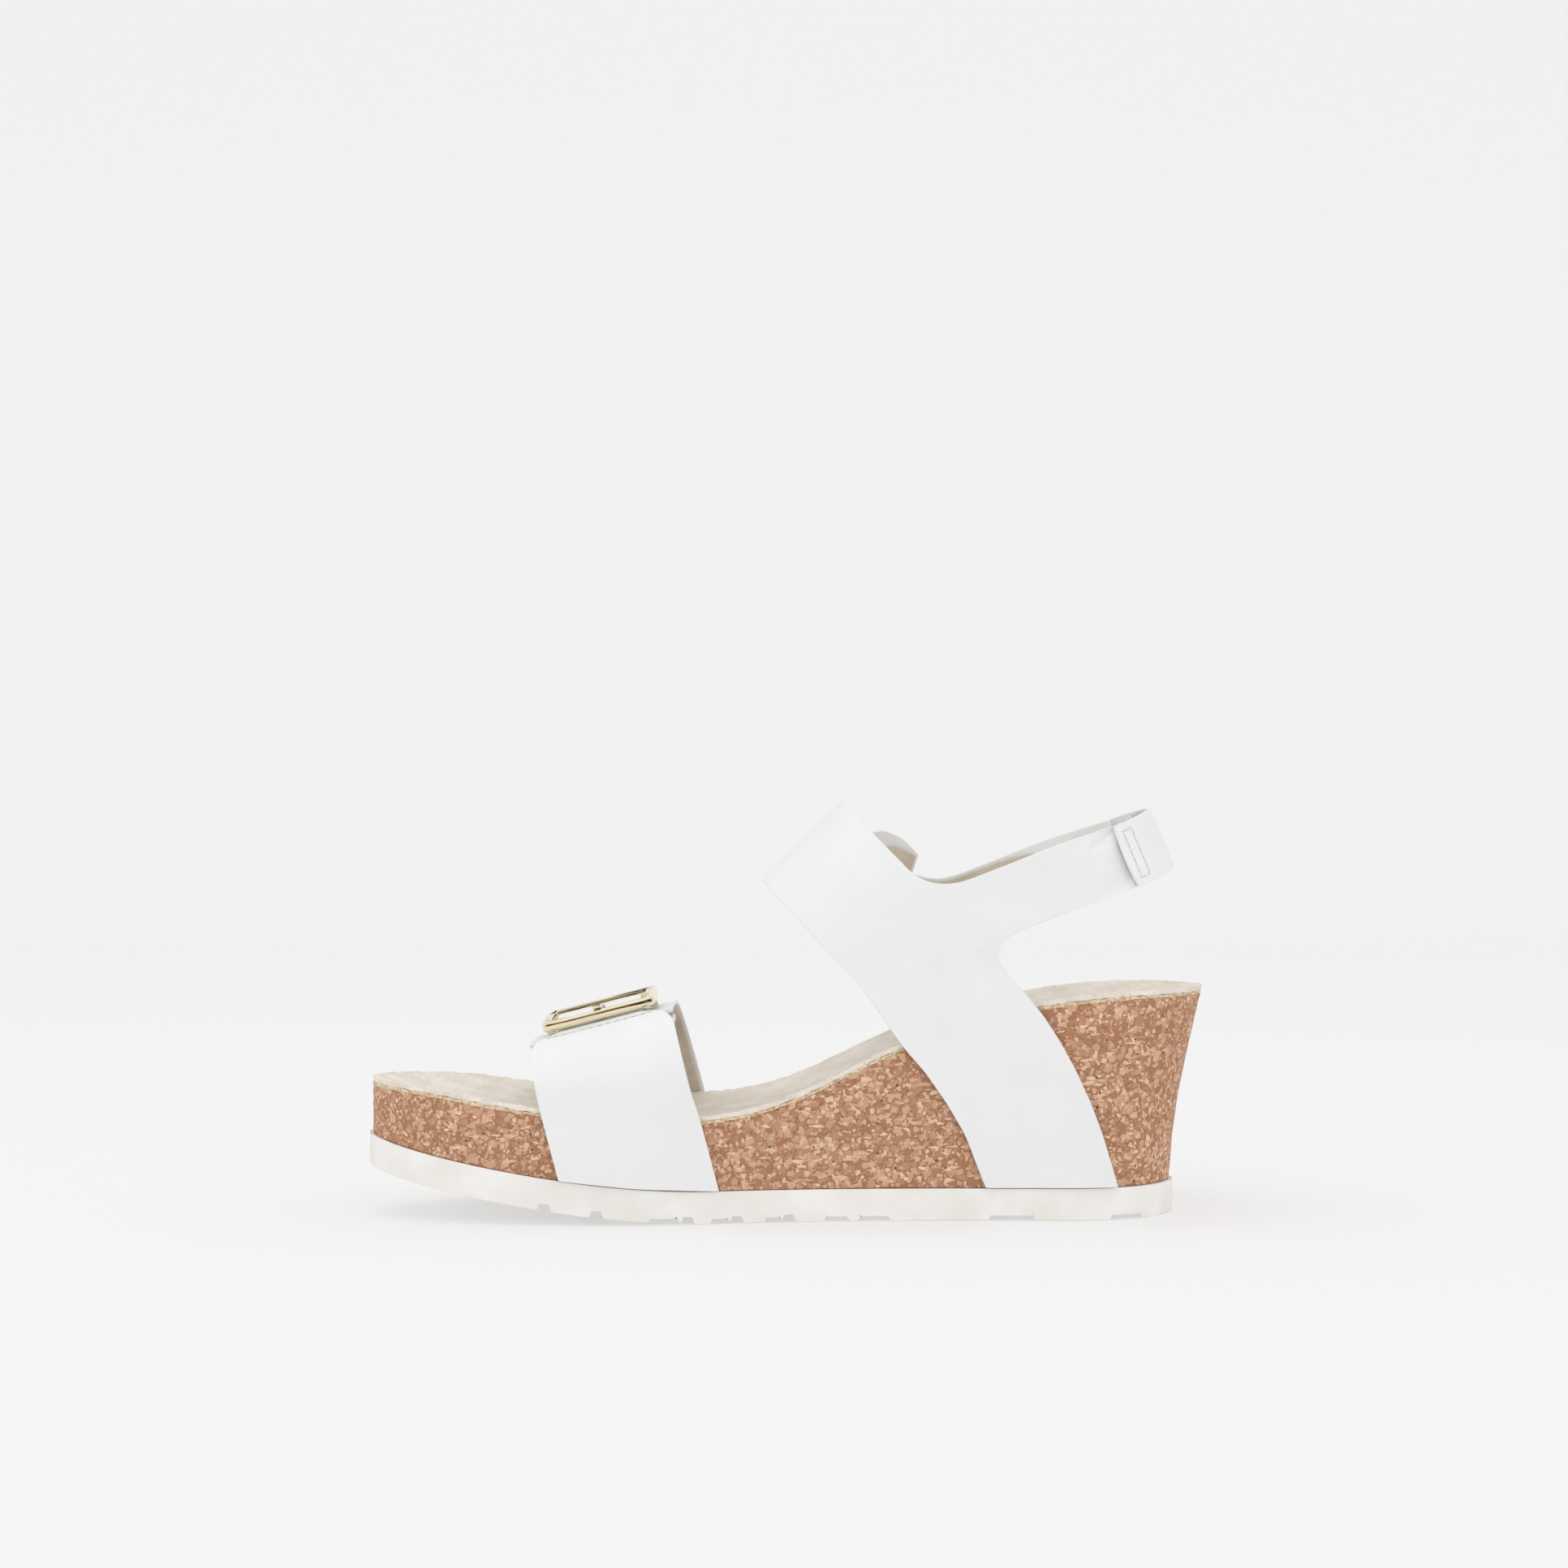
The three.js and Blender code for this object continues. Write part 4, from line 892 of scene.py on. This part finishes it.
# ---------------------------------------------------------------- sewing
@dataclass(frozen=True)
class Stitching:
    """A row of machine stitches on leather."""

    pitch_mm: float = 2.6
    stitch_mm: float = 1.75
    thread_mm: float = 0.46
    sink_mm: float = 0.06
    hole_mm: float = 0.34
    hole_past_mm: float = 0.15
    hole_deep_mm: float = 0.05
    hole_proud_mm: float = 0.03
    hole_slope: float = 0.8
    dive: float = 1.6
    thinnest: float = 0.06
    sides: int = 8
    steps: int = 8

    def places(self, path: Sequence[Vector], closed: bool) -> list[tuple[Vector, Vector]]:
        """Spaces stitches along a path.

        Args:
            path: the corners of the path.
            closed: whether it returns to its start.

        Returns:
            The middle and the direction of each stitch.
        """
        corners = [*path, path[0]] if closed else list(path)
        lengths = [(b - a).length for a, b in zip(corners, corners[1:])]
        total = sum(lengths)
        count = max(1, round(total / (self.pitch_mm * MM)))
        found = []
        for i in range(count):
            along = total * (i + 0.5) / count
            for a, b, length in zip(corners, corners[1:], lengths):
                if along <= length:
                    found.append((a.lerp(b, along / length), (b - a).normalized()))
                    break
                along -= length
        return found

    def sew(
        self,
        name: str,
        nodes: Sequence[str],
        path: Sequence[Vector],
        leather: BVHTree,
        finishes: Finishes,
        closed: bool = False,
    ) -> None:
        """Makes the stitches and the painted shade of their needle holes.

        Args:
            name: name of the thread's piece.
            nodes: the frame nodes that the thread stands for.
            path: the corners of the row.
            leather: the surface that is sewn.
            finishes: the finishes.
            closed: whether the row returns to its start.
        """
        thread = bmesh.new()
        holes = bmesh.new()
        for middle, along in self.places(path, closed):
            spot, normal, _, _ = leather.find_nearest(middle)
            if normal.dot(middle - spot) < 0:
                normal = -normal
            along = (along - normal * along.dot(normal)).normalized()
            self.stitch(thread, spot, along, normal)
            for end in (-0.5, 0.5):
                apart = self.stitch_mm + 2 * self.hole_past_mm
                self.hole(holes, spot + along * end * apart * MM, normal)
        piece = new_piece(name, thread)
        piece.data.shade_smooth()
        settle(piece, nodes, "thread", Ride(), finishes.thread)
        # Each needle hole is a dark lens of painted shade laid on the leather, not a cut.
        settle(new_piece(f"{name}_needle_hole_shade", holes), [], "leather", Ride(), finishes.hole)

    def stitch(self, shape: bmesh.types.BMesh, spot: Vector, along: Vector, normal: Vector) -> None:
        """Adds one arched stitch with ends that dive into the leather.

        Args:
            shape: the thread's mesh.
            spot: the stitch's middle on the leather.
            along: its direction.
            normal: the leather's normal.
        """
        radius = self.thread_mm * MM / 2
        side = along.cross(normal)
        rings = []
        for i in range(self.steps + 1):
            part = 2 * i / self.steps - 1
            arch = (radius - self.sink_mm * MM) * (1 - self.dive * part**4)
            girth = radius * math.sqrt(max(self.thinnest, 1 - abs(part) ** 5))
            middle = spot + along * part * self.stitch_mm * MM / 2 + normal * arch
            ring = []
            for k in range(self.sides):
                turn = 2 * math.pi * k / self.sides
                spoke = side * math.cos(turn) + normal * math.sin(turn)
                ring.append(shape.verts.new(middle + spoke * girth))
            rings.append(ring)
        for one, two in zip(rings, rings[1:]):
            for k in range(self.sides):
                n = (k + 1) % self.sides
                shape.faces.new((one[k], two[k], two[n], one[n]))
        shape.faces.new(rings[0])
        shape.faces.new(rings[-1][::-1])

    def hole(self, shape: bmesh.types.BMesh, spot: Vector, normal: Vector) -> None:
        """Adds one needle hole's painted shade, a thin dark lens on the leather.

        Args:
            shape: the holes' mesh.
            spot: its place on the leather.
            normal: the leather's normal.
        """
        side = normal.orthogonal().normalized()
        other = normal.cross(side)
        low, high = [], []
        for k in range(self.sides):
            turn = 2 * math.pi * k / self.sides
            edge = (side * math.cos(turn) + other * math.sin(turn)) * self.hole_mm * MM
            low.append(shape.verts.new(spot + edge - normal * self.hole_deep_mm * MM))
            top = spot + edge * self.hole_slope
            high.append(shape.verts.new(top + normal * self.hole_proud_mm * MM))
        for k in range(self.sides):
            n = (k + 1) % self.sides
            shape.faces.new((low[k], low[n], high[n], high[k]))
        shape.faces.new(low[::-1])
        shape.faces.new(high)


def surface_of(piece: bpy.types.Object) -> BVHTree:
    """Gives a search tree over a piece's faces."""
    corners = [v.co.copy() for v in piece.data.vertices]
    return BVHTree.FromPolygons(corners, [tuple(p.vertices) for p in piece.data.polygons])


def flat_axes(node: str) -> tuple[Vector, Vector, Vector, float, float]:
    """Finds the long and the short direction of a flat strip.

    Args:
        node: the strip's frame node.

    Returns:
        Its middle, its long and short directions, and half of its size along each.
    """
    shape = gathered([node])
    points = np.array([v.co for v in shape.verts])
    shape.free()
    middle = (points.max(axis=0) + points.min(axis=0)) / 2
    _, _, axes = np.linalg.svd(points - points.mean(axis=0))
    spans = []
    for axis in axes[:2]:
        along = (points - middle) @ axis
        middle = middle + axis * (along.max() + along.min()) / 2
        spans.append((along.max() - along.min()) / 2)
    return Vector(middle), Vector(axes[0]), Vector(axes[1]), spans[0], spans[1]


# ---------------------------------------------------------------- sub-assemblies
@dataclass
class Sole:
    """Outsole, cork wedge, jute layer and suede footbed."""

    finishes: Finishes
    foam_round_mm: float = 0.8
    cork_round_mm: float = 0.5
    ragged_mm: float = 0.35
    swell_mm: float = 0.15
    sanded_mm: float = 0.08
    woven_mm: float = 0.3

    def build(self) -> None:
        """Builds and dresses the four layers."""
        use = self.finishes
        finished("outsole", "foam", [use.foam], Refinement(self.foam_round_mm, 2, 1))
        sanded = rough(self.sanded_mm, 1.5, self.swell_mm)
        finished("cork_wedge", "cork", [use.cork], Refinement(self.cork_round_mm, 2, 2), move=sanded)
        woven = rough(self.woven_mm, 1.6, self.swell_mm)
        finished("upper_jute_layer", "jute", [use.jute], Refinement(0.15, 1, 2), move=woven)
        fluffy = rough(self.ragged_mm, 1.8, self.swell_mm)
        finished("footbed_lining", "footbed", [use.footbed], Refinement(0.4, 2, 3), move=fluffy)


@dataclass
class FrontStrap:
    """Buckled strap over the toes."""

    finishes: Finishes
    sewing: Stitching = Stitching()

    def build(self) -> None:
        """Builds and dresses both halves, their linings, the underlay, the bar's loop and the seam."""
        use = self.finishes
        inner = finished("front_strap_medial", "leather", use.plies())
        for node in ("front_strap_lateral", "front_strap_underlay", "buckle_bar_loop"):
            finished(node, "leather", use.plies())
        for node in ("front_strap_medial_lining", "front_strap_lateral_lining"):
            finished(node, "suede", [use.suede], LINING)
        node = "front_strap_medial_stitching"
        middle, along, _, half, _ = flat_axes(node)
        path = [middle - along * half, middle + along * half]
        self.sewing.sew(node, [node], path, surface_of(inner), use)


@dataclass
class Buckle:
    """Gilt frame, its bar and its prong."""

    finishes: Finishes

    def build(self) -> None:
        """Builds and dresses the three castings."""
        gilt = [self.finishes.gilt]
        finished("buckle_frame", "gold", gilt, Refinement(0.35, 3, 1, 30))
        finished("buckle_centre_bar", "gold", gilt, Refinement(0.2, 2, 1))
        finished("buckle_prong", "gold", gilt, Refinement(0.3, 3, 1), Ride("prong"))


@dataclass
class InstepStrap:
    """Forked strap over the instep, with its flap and fastening tape."""

    finishes: Finishes
    fold: Bend = Bend("instep_flap_fold", "flap", Vector((0, 1, 0)), 12.0)
    crotch: tuple[float, float] = (0.0605, 0.0785)
    crease_reach_mm: float = 13.0
    crease_depth_mm: float = 0.16
    crease_count: int = 15
    crease_fade: float = 2.2
    crease_rise: float = 3.0
    crease_wander: float = 4.0
    wanders_per_metre: float = 90.0

    def build(self) -> None:
        """Builds and dresses both sides, the flap and the tape."""
        use = self.finishes
        nodes = ["instep_strap_medial", "instep_flap"]
        shape = gathered(nodes)
        close_split(shape, self.fold)
        mark_plies(shape, STRAP.sharp_degrees)
        piece = new_piece("instep_strap_inner_half", shape)
        refine(piece, Refinement(levels=3))
        shaped(piece, self.creases)
        settle(piece, nodes, "leather", self.fold, *use.plies())
        finished("instep_strap_lateral", "leather", use.plies())
        for node in ("instep_strap_medial_lining", "instep_flap_lining"):
            finished(node, "suede", [use.suede], LINING, self.fold)
        finished("instep_strap_lateral_lining", "suede", [use.suede], LINING)
        finished("instep_loop_patch", "tape", [use.tape], LINING)
        finished("instep_hook_patch", "tape", [use.tape], LINING, Ride("flap"))

    def creases(self, place: Vector, normal: Vector) -> Vector:
        """Gives the fan of small creases where the strap forks.

        Args:
            place: a point of the leather.
            normal: its normal.

        Returns:
            The point's shift.
        """
        if place.y > 0:
            return Vector()
        dx, dz = place.x - self.crotch[0], place.z - self.crotch[1]
        away = math.hypot(dx, dz) / (self.crease_reach_mm * MM)
        fade = math.exp(-self.crease_fade * away * away) * min(1.0, away * self.crease_rise)
        wander = self.crease_wander * noise.noise(place * self.wanders_per_metre)
        wave = math.sin(self.crease_count * math.atan2(dz, dx) + wander)
        return Vector((0, normal.y, 0)) * wave * fade * self.crease_depth_mm * MM


@dataclass
class HeelStrap:
    """Strap round the heel with its loose end, tape and box of stitches."""

    finishes: Finishes
    fold: Bend = Bend("heel_strap_fold", "heel_end", Vector((-0.4385, 0.88, -0.1824)), 6.0)
    sewing: Stitching = Stitching(pitch_mm=2.45, stitch_mm=1.6, hole_mm=0.24)
    seam_mm: float = 0.5
    corner_mm: float = 0.8

    def build(self) -> None:
        """Builds and dresses the strap, its lining, tape and stitches."""
        use = self.finishes
        nodes = ["heel_strap", "heel_strap_end"]
        shape = gathered(nodes)
        close_split(shape, self.fold)
        mark_plies(shape, STRAP.sharp_degrees)
        piece = new_piece("heel_strap_band", shape)
        refine(piece, STRAP)
        leather = surface_of(piece)
        settle(piece, nodes, "leather", self.fold, *use.plies())
        finished("heel_strap_lining", "suede", [use.suede], LINING, self.fold)
        finished("heel_loop_patch", "tape", [use.tape], LINING)
        finished("heel_hook_patch", "tape", [use.tape], LINING, Ride("heel_end"))
        self.box_seam(leather)

    def box_seam(self, leather: BVHTree) -> None:
        """Sews the rounded box behind the tab's front edge.

        Args:
            leather: the strap's surface.
        """
        node = "heel_strap_stitching"
        middle, long_way, short_way, half_long, half_short = flat_axes(node)
        a = long_way * (half_long - self.seam_mm * MM / 2)
        b = short_way * (half_short - self.seam_mm * MM / 2)
        path = []
        for one, two in ((a, b), (b, -a), (-a, -b), (-b, a)):
            corner = one + two
            cut = self.corner_mm * MM
            path.append(middle + corner - two.normalized() * cut)
            path.append(middle + corner - one.normalized() * cut)
        self.sewing.sew(node, [node], path, leather, self.finishes, closed=True)


# ---------------------------------------------------------------- studio
@dataclass
class Studio:
    """Pale seamless paper, soft light from above, in front and all round, and the camera."""

    camera_at: tuple[float, float, float] = (-0.001, -1.08, 0.127)
    lens_mm: float = 82.73
    paper: str = "#bcbcbc"
    paper_glow: float = 0.4
    air: float = 0.96
    top_watts: float = 2.0
    front_watts: float = 2.6
    sweep_back_m: float = 1.6
    sweep_radius_m: float = 0.9
    sweep_front_m: float = 4.0
    sweep_half_m: float = 5.0
    sweep_high_m: float = 4.0
    sweep_steps: int = 16
    paper_below_mm: float = 0.2
    flag_front_m: float = 2.0
    flag_half_m: float = 2.2
    flag_low_m: float = 0.02
    flag_high_m: float = 1.5
    felt: str = "#2a2018"
    softbox_m: float = 1.6

    def build(self) -> None:
        """Builds the paper, the dark flag, the light and the camera."""
        self.build_paper()
        self.build_flag()
        self.build_lights()
        self.build_camera()

    def sheet(
        self, name: str, corners: Sequence[Sequence[float]], faces: Sequence[Sequence[int]]
    ) -> bpy.types.Object:
        """Makes a studio surface.

        Args:
            name: its name.
            corners: its points.
            faces: its faces.

        Returns:
            The object.
        """
        mesh = bpy.data.meshes.new(name)
        mesh.from_pydata([tuple(c) for c in corners], [], [tuple(f) for f in faces])
        mesh.shade_smooth()
        surface = bpy.data.objects.new(name, mesh)
        bpy.context.scene.collection.objects.link(surface)
        return surface

    def build_paper(self) -> None:
        """Makes seamless paper that sweeps up behind the sandal."""
        back, radius = self.sweep_back_m, self.sweep_radius_m
        profile = [(-self.sweep_front_m, 0.0), (back, 0.0)]
        for i in range(1, self.sweep_steps + 1):
            turn = math.pi / 2 * i / self.sweep_steps
            profile.append((back + radius * math.sin(turn), radius * (1 - math.cos(turn))))
        profile.append((back + radius, self.sweep_high_m))
        drop = self.paper_below_mm * MM
        half = self.sweep_half_m
        corners = [(x, y, z - drop) for y, z in profile for x in (-half, half)]
        faces = [(2 * i, 2 * i + 1, 2 * i + 3, 2 * i + 2) for i in range(len(profile) - 1)]
        surface = self.sheet("paper_sweep", corners, faces)
        material, _, shader, _ = new_finish("matt_studio_paper", 1.0, Specular_IOR_Level=0.0)
        shader.inputs["Base Color"].default_value = srgb(self.paper)
        shader.inputs["Emission Color"].default_value = srgb("#ffffff")
        shader.inputs["Emission Strength"].default_value = self.paper_glow
        surface.data.materials.append(material)

    def build_flag(self) -> None:
        """Makes a dark flag that only polished metal and satin leather reflect."""
        half, front = self.flag_half_m, -self.flag_front_m
        low, high = self.flag_low_m, self.flag_high_m
        corners = [(-half, front, low), (half, front, low), (half, front, high), (-half, front, high)]
        flag = self.sheet("dark_flag", corners, [(0, 1, 2, 3)])
        flag.visible_camera = False
        flag.visible_diffuse = False
        flag.visible_shadow = False
        material, _, shader, _ = new_finish("black_felt", 1.0, Specular_IOR_Level=0.0)
        shader.inputs["Base Color"].default_value = srgb(self.felt)
        flag.data.materials.append(material)

    def build_lights(self) -> None:
        """Lights the scene evenly, with a little more from above and in front."""
        world = bpy.data.worlds.new("studio_air")
        world.use_nodes = True
        background = world.node_tree.nodes["Background"]
        background.inputs["Color"].default_value = srgb("#ffffff")
        background.inputs["Strength"].default_value = self.air
        bpy.context.scene.world = world
        self.softbox("top_softbox", Vector((-0.3, -0.2, 1.5)), self.top_watts)
        self.softbox("front_softbox", Vector((-0.2, -1.9, 0.8)), self.front_watts)

    def softbox(self, name: str, place: Vector, watts: float) -> None:
        """Hangs a large square lamp that faces the sandal.

        Args:
            name: its name.
            place: where it hangs.
            watts: its power.
        """
        light = bpy.data.lights.new(name, "AREA")
        light.size = self.softbox_m
        light.energy = watts
        holder = bpy.data.objects.new(name, light)
        holder.location = place
        holder.rotation_euler = (-place).to_track_quat("-Z", "Y").to_euler()
        bpy.context.scene.collection.objects.link(holder)

    def build_camera(self) -> None:
        """Places the camera level, square to the inner side."""
        data = bpy.data.cameras.new("camera")
        data.lens = self.lens_mm
        data.sensor_width = 36.0
        data.clip_start = 0.01
        data.clip_end = 50.0
        holder = bpy.data.objects.new("camera", data)
        holder.location = self.camera_at
        holder.rotation_euler = (math.pi / 2, 0, 0)
        bpy.context.scene.collection.objects.link(holder)
        bpy.context.scene.camera = holder
        bpy.context.scene.view_settings.view_transform = "Standard"


def main() -> None:
    """Builds the sub-assemblies and the studio in order."""
    logging.basicConfig(level=logging.INFO, format="%(message)s")
    finishes = Finishes()
    Sole(finishes).build()
    FrontStrap(finishes).build()
    Buckle(finishes).build()
    InstepStrap(finishes).build()
    HeelStrap(finishes).build()
    Studio().build()


if __name__ == "__main__":
    main()
